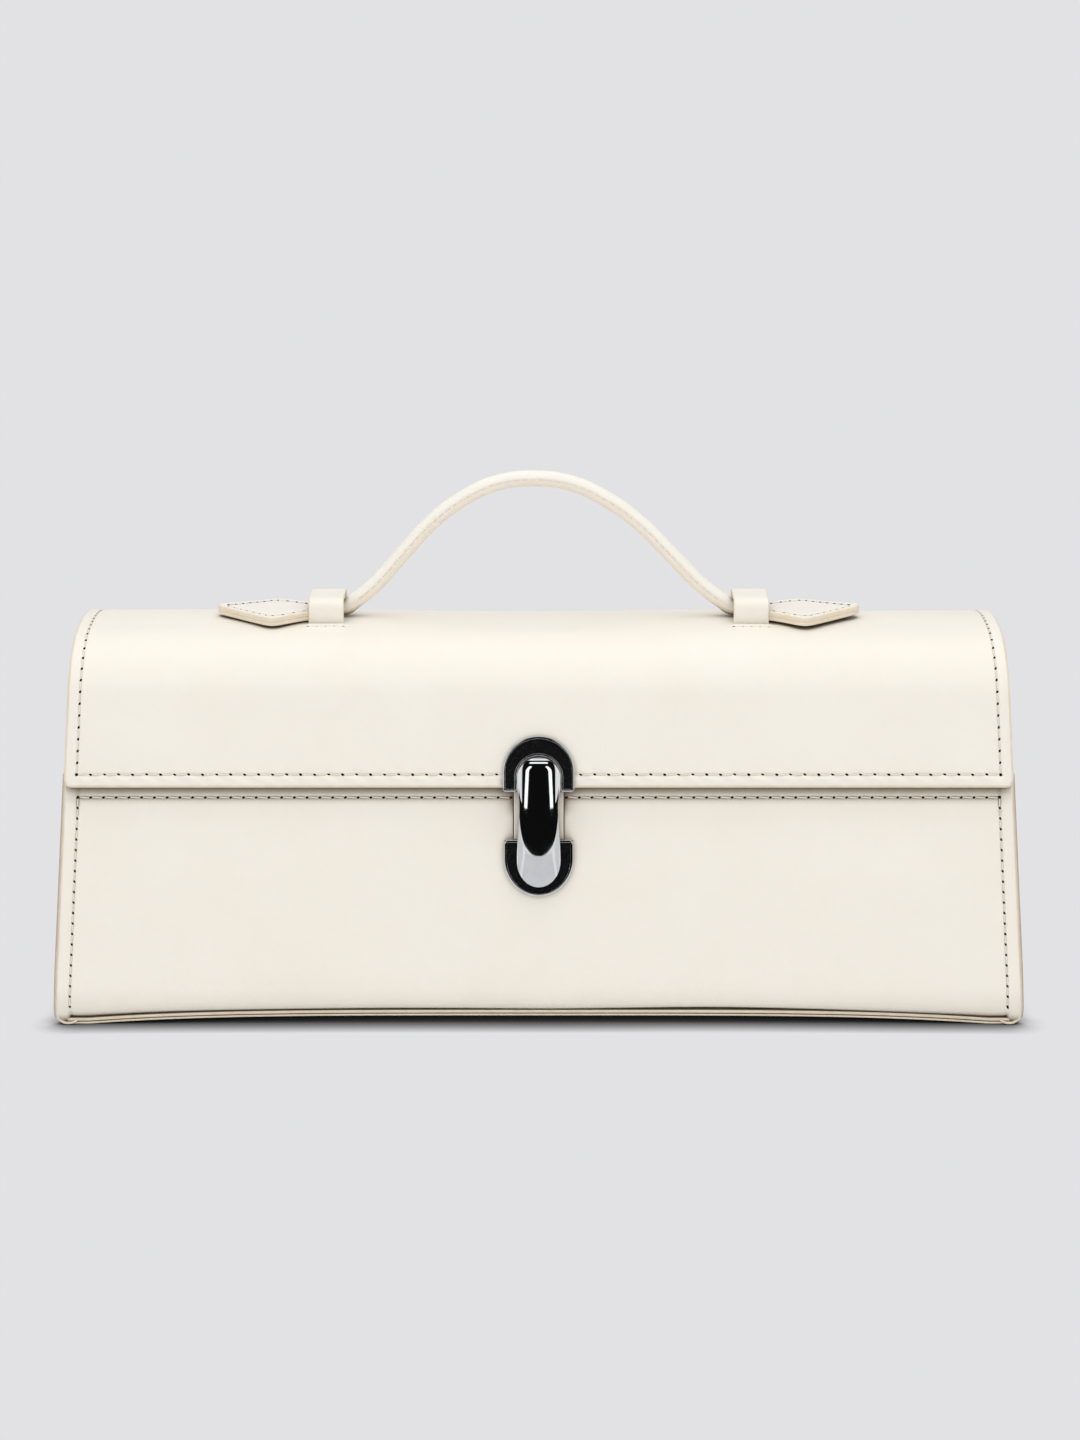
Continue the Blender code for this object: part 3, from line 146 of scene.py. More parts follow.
def distances(points):
    """Distance along a line of points, at each of them."""
    return np.r_[0, np.cumsum(np.linalg.norm(np.diff(points, axis=0), axis=1))]


def unit_vectors(vectors):
    return vectors / np.linalg.norm(vectors, axis=-1)[..., None]


def sampled(way, ways, values):
    """Rows of values at given distances along a line."""
    return stacked(*(np.interp(way, ways, column) for column in values.T))


# Shapes shared by the shells

def shaped(points):
    """Box space to world for an array of points."""
    out = points.copy()
    climb = np.clip(points[..., 2] - TAPER_START_Z, 0, None) / (FLAP_TOP_Z - TAPER_START_Z)
    out[..., 0] *= 1 - TAPER_INSET / HALF_WIDTH * climb
    fade = np.clip(1 - points[..., 2] / ARCH_FADE_Z, 0, None)
    rise = 1 - unit(np.abs(points[..., 0]) / FOOT_PAD_START_X) ** ARCH_POWER
    out[..., 2] += BASE_ARCH * rise * fade
    tuck = unit(1 - points[..., 2] / TUCK_TOP_Z) ** 3
    out[..., 1] -= TUCK_DEPTH * tuck * np.clip(points[..., 1] / TUCK_FULL_Y, -1, 1)
    return out


def on_feet(points, width, blend, bottom_z, floor_gap, power):
    """As shaped(), with strips at both sides reaching down to the floor; gives them too."""
    out = shaped(points)
    strip = unit((np.abs(points[..., 0]) - HALF_WIDTH + width) / blend)
    low = unit(1 - (points[..., 2] - bottom_z) / FOOT_FADE)
    out[..., 2] -= (bottom_z - floor_gap) * eased(strip) * low ** power
    return out, strip


def with_feet(points):
    """The panels' outer strips are feet."""
    return on_feet(points, FOOT_WIDTH, FOOT_BLEND, PANEL_BOTTOM_Z, FOOT_FLOOR_GAP, 1.5)[0]


def gusset_feet(points):
    """The gusset's rim is a foot with a small round corner."""
    out, strip = on_feet(points, RIM_WIDTH_LOW, RIM_BLEND, GUSSET_BOTTOM_Z, RIM_FLOOR_GAP, 1.2)
    left = unit(1 - out[..., 2] / RIM_CORNER)
    inset = RIM_CORNER * (1 - np.sqrt(1 - left ** 2))
    out[..., 0] -= np.sign(out[..., 0]) * np.minimum(inset, RIM_INSET_LIMIT) * strip
    return out


class Wall:
    """A leaning straight wall in the Y-Z plane: side is -1 front, +1 back."""

    def __init__(self, side, foot_y, lean, standoff=0.0):
        self.side = side
        self.up = np.array((-side * math.sin(lean), math.cos(lean)))
        self.out = np.array((side * math.cos(lean), math.sin(lean)))
        self.foot = np.array((foot_y, 0.0)) + self.out * standoff

    def at(self, v):
        return self.foot + self.up * v

    def bend(self, radius, bottom_z):
        """Centre of the tuck under the wall and the height where it starts."""
        start_v = (bottom_z + radius + radius * self.out[1]) / self.up[1]
        return self.at(start_v) - self.out * radius, start_v

    def shoulder(self, radius, top_radius, top_z):
        """Circle tangent to this wall and, from inside, to the top arc."""
        top_centre = np.array((0.0, top_z - top_radius))
        start = self.foot - self.out * radius - top_centre
        half_b = start @ self.up
        v = -half_b + math.sqrt(half_b ** 2 - (start @ start - (top_radius - radius) ** 2))
        return self.at(v) - self.out * radius, v


FRONT = Wall(-1, FRONT_FOOT_Y, FRONT_LEAN)
FRONT_OUT = Wall(-1, FRONT_FOOT_Y, FRONT_LEAN, FLAP_STANDOFF)
BACK = Wall(1, BACK_FOOT_Y, BACK_LEAN)


def arc(centre, radius, start, end):
    count = max(3, int(abs(end - start) * radius / GRID_STEP * 1.3) + 1)
    turns = np.linspace(start, end, count)
    return centre + radius * np.stack((np.cos(turns), np.sin(turns)), axis=1)


def straight(start, end):
    start, end = np.asarray(start, float), np.asarray(end, float)
    count = max(2, int(np.linalg.norm(end - start) / GRID_STEP) + 1)
    return start + (end - start) * np.linspace(0, 1, count)[:, None]


def angle_of(vector):
    return math.atan2(vector[1], vector[0]) % math.tau


class Path:
    """A polyline in Y-Z with the outward normal and the distance at each point."""

    def __init__(self, pieces, turn):
        self.turn = turn
        points = np.concatenate(pieces)
        keep = np.r_[True, np.linalg.norm(np.diff(points, axis=0), axis=1) > 1e-6]
        points = points[keep]
        way = distances(points)
        self.length, self.way, self.points = way[-1], way, points
        self.tangent = unit_vectors(np.gradient(points, way, axis=0))

    def at(self, way):
        """Point, tangent and outward normal at each distance."""
        way = np.asarray(way, float)
        tangent = unit_vectors(sampled(way, self.way, self.tangent))
        past = way - np.clip(way, 0, self.length)
        point = sampled(way, self.way, self.points) + tangent * past[..., None]
        normal = stacked(tangent[..., 1], -tangent[..., 0]) * self.turn
        return point, tangent, normal


def wall_path(wall, top_v, radius=BEND_RADIUS):
    """Panel from its top edge down, round the tuck and on to the lip."""
    centre, start_v = wall.bend(radius, PANEL_BOTTOM_Z)
    first = angle_of(wall.out)
    last = math.radians(270) - (math.tau if wall.side > 0 else 0)
    pieces = [
        straight(wall.at(top_v), wall.at(start_v)),
        arc(centre, radius, first, last),
        straight((centre[0], PANEL_BOTTOM_Z),
                 (centre[0] - wall.side * LIP_LENGTH, PANEL_BOTTOM_Z)),
    ]
    return Path(pieces, -wall.side)


def flap_path():
    """Outer face of the flap, from its front edge over the top to the hinge."""
    front_centre, front_v = FRONT_OUT.shoulder(SHOULDER_RADIUS, TOP_RADIUS, FLAP_TOP_Z)
    back_centre, back_v = BACK.shoulder(SHOULDER_RADIUS, TOP_RADIUS, FLAP_TOP_Z)
    top_centre = np.array((0.0, FLAP_TOP_Z - TOP_RADIUS))
    front_turn = angle_of(front_centre - top_centre)
    back_turn = angle_of(back_centre - top_centre)
    pieces = [
        straight(FRONT_OUT.at(FLAP_EDGE_V), FRONT_OUT.at(front_v)),
        arc(front_centre, SHOULDER_RADIUS, angle_of(FRONT_OUT.out), front_turn),
        arc(top_centre, TOP_RADIUS, front_turn, back_turn),
        arc(back_centre, SHOULDER_RADIUS, back_turn, angle_of(BACK.out)),
        straight(BACK.at(back_v), BACK.at(HINGE_V)),
    ]
    return Path(pieces, -1)


# Mesh building

def corner_cut(way, corner):
    """How far a round corner takes the edge in, at a distance along it."""
    left = np.clip(corner - way, 0, None)
    return corner - np.sqrt(np.clip(corner ** 2 - left ** 2, 0, None)) if corner else 0 * way


def rounding(distance, radius):
    """How far a rounded edge lies below the face, at a distance from the edge."""
    left = np.clip(radius - distance, 0, radius)
    return radius - np.sqrt(radius ** 2 - left ** 2)


def spaced(low, high, step, edge, seams=()):
    """Stations from low to high, with close ones at rounded edges and beside each seam."""
    rim = edge * np.array((0, 0.06, 0.22, 0.5))
    count = max(2, int((high - low) / step) + 1)
    middle = np.linspace(low + edge, high - edge, count)
    for seam in seams:
        close = seam + SEAM_DIP_WIDTH * np.array(SEAM_STATIONS)
        middle = middle[np.abs(middle - seam) > close[-1] - seam + step * 0.3]
        middle = np.sort(np.concatenate((middle, close)))
    middle = middle[(middle > low + edge * 0.6) & (middle < high - edge * 0.6)]
    return np.concatenate((low + rim, middle, (high - rim)[::-1]))


def flat_relief(way, x):
    return 0 * (way + x)


def plain_map(points):
    return points


@dataclass
class Shell:
    """A bent sheet of leather or cloth: a path in Y-Z, a width in X and two depths.

    relief raises its outer face, width_at gives its half width along the path, and
    to_world brings a straight shape to its real place.
    """

    path: Path
    outer: float
    inner: object
    half_width: float
    start: float = 0.0
    end: float = None
    relief: object = flat_relief
    corner: float = 0.0
    tail_corner: float = 0.0
    width_at: object = None
    to_world: object = shaped
    step: float = GRID_STEP
    edge: float = EDGE_ROUND
    seam_ways: tuple = ()
    seam_sides: tuple = ()

    def __post_init__(self):
        if self.end is None:
            self.end = self.path.length
        self.edge = min(self.edge, float(self.under(0.0) - self.outer) / 2)

    def under(self, way):
        """Depth of the inner face, which may change along the path."""
        return self.inner(way) if callable(self.inner) else self.inner + 0 * way

    def reach(self, way):
        if self.width_at:
            return self.width_at(way)
        cut = corner_cut(way - self.start, self.corner)
        return self.half_width - cut - corner_cut(self.end - way, self.tail_corner)

    def place(self, way, x, lift=0.0):
        """World place of a point on the outer face, raised by lift."""
        way, x = np.broadcast_arrays(np.asarray(way, float), np.asarray(x, float))
        return self.at_depth(way, x, self.outer - self.relief(way, x) - lift)

    def at_depth(self, way, x, depth):
        point, _, normal = self.path.at(way)
        yz = point - normal * depth[..., None]
        return self.to_world(stacked(x, yz[..., 0], yz[..., 1]))

    def build(self, name, looks):
        ways = spaced(self.start, self.end, self.step, self.edge, self.seam_ways)
        sides = [side * (self.half_width - inset) for inset in self.seam_sides for side in (-1, 1)]
        shares = spaced(-self.half_width, self.half_width, self.step, self.edge, sides)
        shares = shares / self.half_width
        way = ways[:, None] + 0 * shares
        reach = self.reach(ways)[:, None] + 0 * shares
        x = reach * shares
        side = reach - np.abs(x)
        end = np.minimum(way - self.start, self.end - way)
        drop = np.minimum(np.hypot(rounding(side, self.edge), rounding(end, self.edge)),
                          self.edge)
        top = self.at_depth(way, x, self.outer + drop - self.relief(way, x))
        under = self.at_depth(way, x, self.under(way) - drop)
        rim = np.minimum(side, end) < self.edge * 0.75
        return closed_grid(name, top, under, looks, rim)


def closed_grid(name, top, under, looks, rim=None):
    """Two equal grids of points closed into one solid; rim marks the painted edge."""
    index = np.arange(top[..., 0].size).reshape(top.shape[:2])
    face = stacked(index[:-1, :-1], index[1:, :-1], index[1:, 1:], index[:-1, 1:]).reshape(-1, 4)
    loop = np.concatenate((index[0, :-1], index[:-1, -1], index[-1, :0:-1], index[:0:-1, 0]))
    after = np.roll(loop, -1)
    walls = stacked(loop, after, after + index.size, loop + index.size)
    faces = np.concatenate((face, face[:, ::-1] + index.size, walls))
    verts = np.concatenate((top.reshape(-1, 3), under.reshape(-1, 3)))
    piece = mesh_object(name, verts, faces, looks)
    if len(looks) > 1:
        painted = (rim[:-1, :-1] | rim[1:, 1:]).ravel()
        marks = np.concatenate((painted, painted, np.ones(len(loop), bool)))
        piece.data.polygons.foreach_set("material_index", marks.astype(np.int32))
    return piece


def placed(name, data):
    made = bpy.data.objects.new(name, data)
    bpy.context.scene.collection.objects.link(made)
    return made


def mesh_object(name, verts, faces, looks):
    """A smooth mesh object with outward normals and its materials."""
    mesh = bpy.data.meshes.new(name)
    mesh.from_pydata(np.asarray(verts).tolist(), [], [tuple(map(int, face)) for face in faces])
    mesh.validate()
    piece = placed(name, mesh)
    for look in looks:
        mesh.materials.append(look)
    turn_outward(mesh)
    mesh.polygons.foreach_set("use_smooth", np.ones(len(mesh.polygons), bool))
    return piece


def settle(piece, body, slot=None, *nodes):
    """The piece rides on a body and stands for CAD nodes, which it hides; slot is not used."""
    if nodes:
        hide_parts(*nodes)
    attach(piece, body)


def turn_outward(mesh):
    """Flip the faces if the closed mesh encloses a negative volume."""
    if sum(face.center.dot(face.normal) * face.area for face in mesh.polygons) < 0:
        mesh.flip_normals()


def wander(x, y, size, seed):
    """Smooth noise from -1 to 1 over a plane, one value for each pair of places."""
    x, y = np.broadcast_arrays(x, y)
    pairs = zip((x / size).ravel(), (y / size).ravel())
    found = [noise.noise(Vector((a, b, seed))) for a, b in pairs]
    return np.array(found).reshape(x.shape) * 1.8


def ring_faces(start, rings, sides):
    """Faces of a capped tube whose rings of vertices follow each other."""
    index = start + np.arange(rings * sides).reshape(rings, sides)
    near, far = index[:-1], index[1:]
    walls = stacked(near, np.roll(near, -1, axis=1), np.roll(far, -1, axis=1), far)
    return [*walls.reshape(-1, 4), index[0, ::-1], index[-1]]


def tubes(name, lines, sides, look):
    """Capped tubes; each line has its points, their normals, and half its width and height."""
    verts, faces = [], []
    turns = np.arange(sides) * math.tau / sides
    for points, normals, wide, high in lines:
        tangent = unit_vectors(np.gradient(points, axis=0))
        across = unit_vectors(np.cross(tangent, normals))
        lift = np.cross(across, tangent)
        faces += ring_faces(len(verts), len(points), sides)
        rings = (points[:, None] + (wide[:, None] * np.cos(turns))[..., None] * across[:, None]
                 + (high[:, None] * np.sin(turns))[..., None] * lift[:, None])
        verts.extend(rings.reshape(-1, 3))
    return mesh_object(name, verts, faces, [look])


def stitches(name, shell, holes, slant, body, width=STITCH_WIDTH, dark=True):
    """Thread from hole to hole along a row of (way, x) places, and the needle holes' painted
    shade.
    """
    steps = np.linspace(0.10, 0.90, 7)
    arch = np.sin(math.pi * steps)
    rise = width * (0.34 * arch - 0.06)
    half = width / 2 * arch ** 0.4
    lines = []
    for first, last in zip(holes[:-1], holes[1:]):
        run = last - first
        lean = slant * (steps - 0.5) / max(np.linalg.norm(run), 1e-9)
        way = first[0] + run[0] * steps + lean * run[1]
        x = first[1] + run[1] * steps - lean * run[0]
        points = shell.place(way, x, rise)
        lines.append((points, shell.place(way, x, rise + NORMAL_LIFT) - points, half, half))
    settle(tubes(f"{name}_thread", lines, STITCH_SIDES, LOOK["thread"]), body)
    if dark:
        needle_holes(f"{name}_holes", shell, holes, body)


def needle_holes(name, shell, holes, body):
    """Small dark pits: painted shade of the holes where the thread goes down, tilted across the
    row.
    """
    cos, sin = math.cos(HOLE_TILT), math.sin(HOLE_TILT)
    turned = np.array(((cos, -sin), (sin, cos))) * HOLE_LENGTH / 2
    steps = np.array((-1.0, -0.7, 0.0, 0.7, 1.0))
    share = np.sqrt(unit(1.04 - steps ** 2))
    lines = []
    for hole, after in zip(holes, np.vstack((holes[1:], holes[-1:] * 2 - holes[-2:-1]))):
        run = turned @ (after - hole) / max(np.linalg.norm(after - hole), 1e-9)
        way, x = hole[:, None] + run[:, None] * steps
        points = shell.place(way, x, HOLE_LIFT)
        normals = shell.place(way, x, NORMAL_LIFT) - points
        lines.append((points, normals, HOLE_WIDTH / 2 * share, HOLE_HEIGHT * share))
    settle(tubes(name, lines, STITCH_SIDES, LOOK["hole_shade"]), body)


def row(start, end, pitch):
    """Evenly spaced needle holes between two (way, x) places."""
    start, end = np.asarray(start, float), np.asarray(end, float)
    count = max(1, round(np.linalg.norm(end - start) / pitch))
    return start + (end - start) * np.linspace(0, 1, count + 1)[:, None]


# Materials

# Painted shade: ambient occlusion mixes the leather towards a dark brown in crevices, under parts
# and beside the clasp
CREVICE_SAMPLES = 6
CREVICE_REACH = 0.0060
PAINTED_SHADE_COLOUR = (0.20, 0.145, 0.085)
# Painted shadow below the flap's edge: above a height just under it, the front panel's
# ambient-occlusion darkening is stronger
FLAP_EDGE_SHADE_RANGE = (0.64, 0.99)
FLAP_SHADE_RUN = 0.004
FLAP_SHADE_DROP = 0.0060
# Painted shade low on the front panel: darker towards the bottom, where the panel curves under
LOW_SHADE_TOP_Z = 0.012
LOW_SHADE_SHARE = 0.80
HIDE = ((0.864, 0.816, 0.724), (0.890, 0.846, 0.760))


def fill(tree, node, inputs):
    """Link each input whose value is a socket and set the others; a tuple is a colour."""
    for key, value in inputs.items():
        if isinstance(value, bpy.types.NodeSocket):
            tree.links.new(value, node.inputs[key])
        else:
            node.inputs[key].default_value = (*value, 1.0) if isinstance(value, tuple) else value


def add(tree, kind, inputs, **settings):
    node = tree.nodes.new(f"ShaderNode{kind}")
    for key, value in settings.items():
        setattr(node, key, value)
    fill(tree, node, inputs)
    return node


def calculated(tree, operation, first, second):
    return add(tree, "Math", {0: first, 1: second}, operation=operation).outputs[0]


class Look:
    """A new material, its textures placed in metres of the object."""

    def __init__(self, name):
        self.made = bpy.data.materials.new(name)
        self.made.use_nodes = True
        self.tree = self.made.node_tree
        self.place = add(self.tree, "TexCoord", {}).outputs["Object"]

    def texture(self, kind, output, inputs, **settings):
        node = add(self.tree, f"Tex{kind}", {"Vector": self.place, **inputs}, **settings)
        return node.outputs[output]

    def noise(self, scale, detail, roughness=0.5):
        inputs = {"Scale": scale, "Detail": detail, "Roughness": roughness}
        return self.texture("Noise", "Fac", inputs)

    def spread(self, value, from_low, from_high, to_low=0.0, to_high=1.0):
        inputs = dict(enumerate((value, from_low, from_high, to_low, to_high)))
        return add(self.tree, "MapRange", inputs).outputs["Result"]

    def mix(self, share, low, high):
        """Between two colours."""
        inputs = {"Factor": share, 6: low, 7: high}
        return add(self.tree, "Mix", inputs, data_type="RGBA").outputs[2]

    def bump(self, height, distance, strength, under=None):
        inputs = {"Height": height, "Distance": distance, "Strength": strength}
        if under:
            inputs["Normal"] = under
        return add(self.tree, "Bump", inputs).outputs["Normal"]

    def shaded(self, colour, roughness, inputs):
        shader = self.tree.nodes["Principled BSDF"]
        fill(self.tree, shader, {"Base Color": colour, "Roughness": roughness, **inputs})
        return self.made


def leather_look(name, low, high, roughness, grain_share=1.0, shade_range=(0.20, 0.70),
                 flap_shade_height=None):
    """Smooth calf leather: clouded colour, pores, fine grain and uneven gloss.

    Painted shade: ambient occlusion darkens crevices, and more so above the given height,
    as painted shadow below the flap's edge. A look with that height also gets painted shade low
    down.
    """
    look = Look(name)
    clear = look.mix(look.spread(look.noise(38.0, 5.0, 0.62), 0.30, 0.70), low, high)
    # Painted shade: where ambient occlusion finds near geometry, the colour is mixed towards the
    # dark shade colour
    crevice = add(look.tree, "AmbientOcclusion", {"Distance": CREVICE_REACH},
                  samples=CREVICE_SAMPLES).outputs["AO"]
    open_share = look.spread(crevice, *shade_range)
    if flap_shade_height:
        height = add(look.tree, "SeparateXYZ", {0: look.place}).outputs["Z"]
        # Painted shadow below the flap's edge: a stronger darkening above the given height
        above = look.spread(height, flap_shade_height - FLAP_SHADE_RUN, flap_shade_height)
        flap_edge_shade = look.spread(crevice, *FLAP_EDGE_SHADE_RANGE)
        # Painted shade low down: darker towards the bottom
        low_shade = look.spread(height, 0.0, LOW_SHADE_TOP_Z, LOW_SHADE_SHARE)
        joined = add(look.tree, "Mix", {"Factor": above, 2: open_share, 3: flap_edge_shade}).outputs[0]
        open_share = calculated(look.tree, "MULTIPLY", joined, low_shade)
    rough = look.spread(look.noise(160.0, 4.0, 0.6), 0.3, 0.7, roughness - 0.05, roughness + 0.06)
    pores = look.texture("Voronoi", "Distance", {"Scale": 1500.0, "Randomness": 1.0})
    normal = look.bump(look.noise(240.0, 3.0, 0.55), 0.00022, 0.10 + 0.20 * grain_share)
    normal = look.bump(look.noise(2100.0, 3.0, 0.6), 0.00005, 0.35 * grain_share, normal)
    normal = look.bump(pores, 0.00004, 0.30 * grain_share, normal)
    return look.shaded(look.mix(open_share, PAINTED_SHADE_COLOUR, clear), rough,
                       {"Normal": normal, "Specular IOR Level": 0.42, "Sheen Weight": 0.04})


def paint_look():
    """Edge paint: a smooth film that is darker and thinner in places."""
    look = Look("edge_paint")
    level = look.spread(look.noise(260.0, 4.0, 0.6), 0.32, 0.68)
    ripple = look.bump(look.noise(900.0, 3.0), 0.00008, 0.35)
    return look.shaded(look.mix(level, (0.760, 0.655, 0.500), (0.830, 0.738, 0.595)),
                       look.spread(level, 0.0, 1.0, 0.30, 0.44), {"Normal": ripple})


def thread_look():
    """Waxed thread, its strands shown by slanted bands."""
    look = Look("thread")
    twist = look.texture("Wave", "Fac", {"Scale": 950.0, "Distortion": 1.5},
                         bands_direction="DIAGONAL")
    return look.shaded(look.mix(twist, (0.74, 0.68, 0.57), (0.88, 0.84, 0.75)), 0.62,
                       {"Normal": look.bump(twist, 0.00008, 0.6)})


def hole_shade_look():
    """Painted shade of the needle holes, with the thread's fibres showing as a lighter trace."""
    look = Look("needle_hole_shade")
    level = look.spread(look.noise(3200.0, 2.0), 0.45, 0.80)
    return look.shaded(look.mix(level, (0.010, 0.006, 0.003), (0.030, 0.020, 0.011)), 1.0,
                       {"Specular IOR Level": 0.0})


def cloth_look(name, low, high):
    """Tightly woven lining: two crossing sets of yarns with slubs."""
    look = Look(name)
    yarns = [look.texture("Wave", "Fac", {"Scale": 520.0, "Distortion": 0.6},
                          bands_direction=direction) for direction in "XZ"]
    weave = look.bump(calculated(look.tree, "MULTIPLY", *yarns), 0.00018, 0.6)
    slub = look.spread(look.noise(150.0, 5.0), 0.3, 0.7)
    return look.shaded(look.mix(slub, low, high), 0.85, {"Normal": weave, "Sheen Weight": 0.25})


def metal_look(name, clean, smeared, rough_low, rough_high):
    """Polished plating with faint handling smears and hairlines."""
    look = Look(name)
    cloud = look.noise(300.0, 4.0)
    hair = look.bump(look.noise(1800.0, 2.0), 0.00001, 0.04)
    return look.shaded(look.mix(look.spread(cloud, 0.35, 0.65), smeared, clean),
                       look.spread(cloud, 0.3, 0.7, rough_low, rough_high),
                       {"Normal": hair, "Metallic": 1.0})


def enamel_look():
    """Black glossy enamel with a very slight orange peel and dust."""
    look = Look("enamel")
    low_shade = look.spread(look.noise(1400.0, 4.0), 0.45, 0.85)
    peel = look.bump(look.noise(420.0, 1.0), 0.00004, 0.03)
    return look.shaded(look.mix(low_shade, (0.0065, 0.0065, 0.0068), (0.016, 0.016, 0.016)),
                       look.spread(low_shade, 0.0, 1.0, 0.04, 0.09),
                       {"Normal": peel, "Specular IOR Level": 0.35})


LOOK = {
    "leather": leather_look("leather", *HIDE, 0.46),
    # The front panel carries painted shadow below the flap's edge and painted shade low down
    "front": leather_look("front_leather", *HIDE, 0.46, 1.0, (0.26, 0.76),
                          float(flap_path().points[0, 1]) - FLAP_SHADE_DROP),
    "rolled": leather_look("rolled_leather", (0.872, 0.828, 0.742), (0.895, 0.856, 0.775), 0.36,
                           0.0),
    # Painted shade and warm bounce light: the handle's lower half takes a darker, warmer copy of
    # the rolled leather
    "rolled_shaded_low": leather_look("rolled_shaded_underside", (0.862, 0.778, 0.660), (0.888, 0.806, 0.694),
                               0.38, 0.0),
    "inside": leather_look("inside_leather", (0.800, 0.735, 0.620), (0.830, 0.770, 0.660), 0.55),
    "paint": paint_look(),
    "thread": thread_look(),
    "hole_shade": hole_shade_look(),
    "lining": cloth_look("lining", (0.600, 0.520, 0.400), (0.680, 0.600, 0.475)),
    "chrome": metal_look("chrome", (0.93, 0.94, 0.95), (0.88, 0.89, 0.90), 0.030, 0.06),
    "steel": metal_look("inner_steel", (0.70, 0.71, 0.72), (0.60, 0.61, 0.62), 0.22, 0.34),
    "enamel": enamel_look(),
}
PAINTED = [LOOK["leather"], LOOK["paint"]]
INSIDE_PAINTED = [LOOK["inside"], LOOK["paint"]]
CLOTH = [LOOK["lining"]]


# Leather shells of the bag

FRONT_ROW = 0.0050
BACK_ROW = 0.0085
RIDGE_SAG = 0.0007
SEAM_SWELL = 0.00016
KEEPER_SWELL = 0.00040
PUCKER_HEIGHT = 0.00045
PUCKER_PITCH = 0.0072
PUCKER_SLANT = 0.0052
PUCKER_REACH = 0.0080
FLAP_SLACK = 0.00030
WALL_SLACK = 0.00035
FRONT_SWELL = 0.0005
WRAP_EDGE_ROUND = 0.0008
KEEPER_ROW_REACH = 0.0112
KEEPER_ROW_HALF = 0.0056
FLAP = flap_path()
FLAP_LENGTH = FLAP.length
RIDGE_WAY = float(np.interp(0.0, FLAP.points[:, 0], FLAP.way))


def groove(distance):
    return -SEAM_DIP * np.exp(-(distance / SEAM_DIP_WIDTH) ** 2)


def margin(edge, inset, height=SEAM_SWELL):
    """The strip between a seam and the edge swells a little."""
    return height * np.sin(math.pi * unit(edge / inset)) ** 0.8


def stitched(edge, inset):
    return groove(edge - inset) + margin(edge, inset)


def keeper_rise(way, x):
    """The row in front of and behind each keeper dips between two soft swells."""
    off = np.abs(way - RIDGE_WAY) - KEEPER_ROW_REACH
    beside = np.abs(np.abs(x) - KEEPER_ROW_X) - KEEPER_ROW_HALF
    swell = KEEPER_SWELL * np.exp(-((np.abs(off) - 0.0014) / 0.0008) ** 2)
    return unit(1 - beside / 0.0012) * (swell + groove(off))


def flap_relief(way, x):
    """Seam along the edge, puckers below it, slack in the middle and a sag at the top."""
    side = HALF_WIDTH - np.abs(x)
    drift = 1.6 * wander(x, way, 0.016, 1.5)
    pucker = PUCKER_HEIGHT * np.sin(math.tau * (x / PUCKER_PITCH + way / PUCKER_SLANT) + drift)
    pucker *= unit(1 - way / PUCKER_REACH) ** 0.8 * unit(way / 0.0012) * unit(side / 0.010)
    calm = unit(way / 0.02) * unit((FLAP_LENGTH - way) / 0.02)
    slack = FLAP_SLACK * calm * wander(x, way, 0.055, 4.5)
    sag = RIDGE_SAG * np.exp(-((way - RIDGE_WAY) / 0.022) ** 2) * unit(1 - (x / 0.058) ** 2)
    edge = np.minimum(way, side)
    return stitched(edge, FLAP_STITCH_INSET) + pucker + slack + keeper_rise(way, x) - sag


def back_relief(way, x):
    side = HALF_WIDTH - np.abs(x)
    across = groove(way - BACK_ROW) * (side > FRONT_STITCH_INSET)
    slack = WALL_SLACK * unit(way / 0.03) * wander(x, way, 0.06, 7.5)
    return stitched(side, FRONT_STITCH_INSET) + across + slack


def wrap_relief(way, x):
    """Flap first, then the back panel below the hinge."""
    share = eased(unit((way - FLAP_LENGTH + 0.004) / 0.008))
    return flap_relief(way, x) * (1 - share) + back_relief(way - FLAP_LENGTH, x) * share


def front_relief(way, x):
    side = HALF_WIDTH - np.abs(x)
    across = groove(way - FRONT_ROW) * unit((side - FRONT_STITCH_INSET) / 0.0005)
    across = across + margin(way, FRONT_ROW, 0.00012)
    calm = unit(side / 0.03) * unit((way - 0.01) / 0.02)
    swell = FRONT_SWELL * np.sin(math.pi * unit(way / 0.065))
    slack = WALL_SLACK * wander(x, way, 0.06, 2.5)
    return stitched(side, FRONT_STITCH_INSET) + across + calm * (swell + slack)


def make_wrap():
    """One hide from the flap's edge over the top and down the back to the base."""
    back = wall_path(BACK, HINGE_V, PANEL_BEND_RADIUS)
    path = Path([FLAP.points, back.points], -1)

    def thickness(way):
        share = unit((way - FLAP_LENGTH + 0.012) / 0.012)
        return FLAP_THICKNESS - LINING + (PANEL_LEATHER - FLAP_THICKNESS + LINING) * share

    keeper_rows = [RIDGE_WAY + face * KEEPER_ROW_REACH for face in (-1, 1)]
    shell = Shell(path, 0.0, thickness, HALF_WIDTH, relief=wrap_relief, corner=FLAP_CORNER,
                  tail_corner=PANEL_CORNER, edge=WRAP_EDGE_ROUND,
                  seam_ways=[FLAP_STITCH_INSET, *keeper_rows, FLAP_LENGTH + BACK_ROW],
                  seam_sides=[FLAP_STITCH_INSET, FOOT_WIDTH], to_world=with_feet)
    wrap = shell.build("wrap_leather", PAINTED)
    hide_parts("flap_outer", "flap_stiffener", "back_panel")
    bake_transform(wrap)
    return shell


def shell_piece(node, body, slot, looks, *args, name=None, **values):
    """A shell that rides on a body and stands for a CAD node, if one is named."""
    shell = Shell(*args, **values)
    name = name or f"{node}_{'cloth' if slot == 'lining' else 'leather'}"
    settle(shell.build(name, looks), body, slot, *([node] if node else []))
    return shell


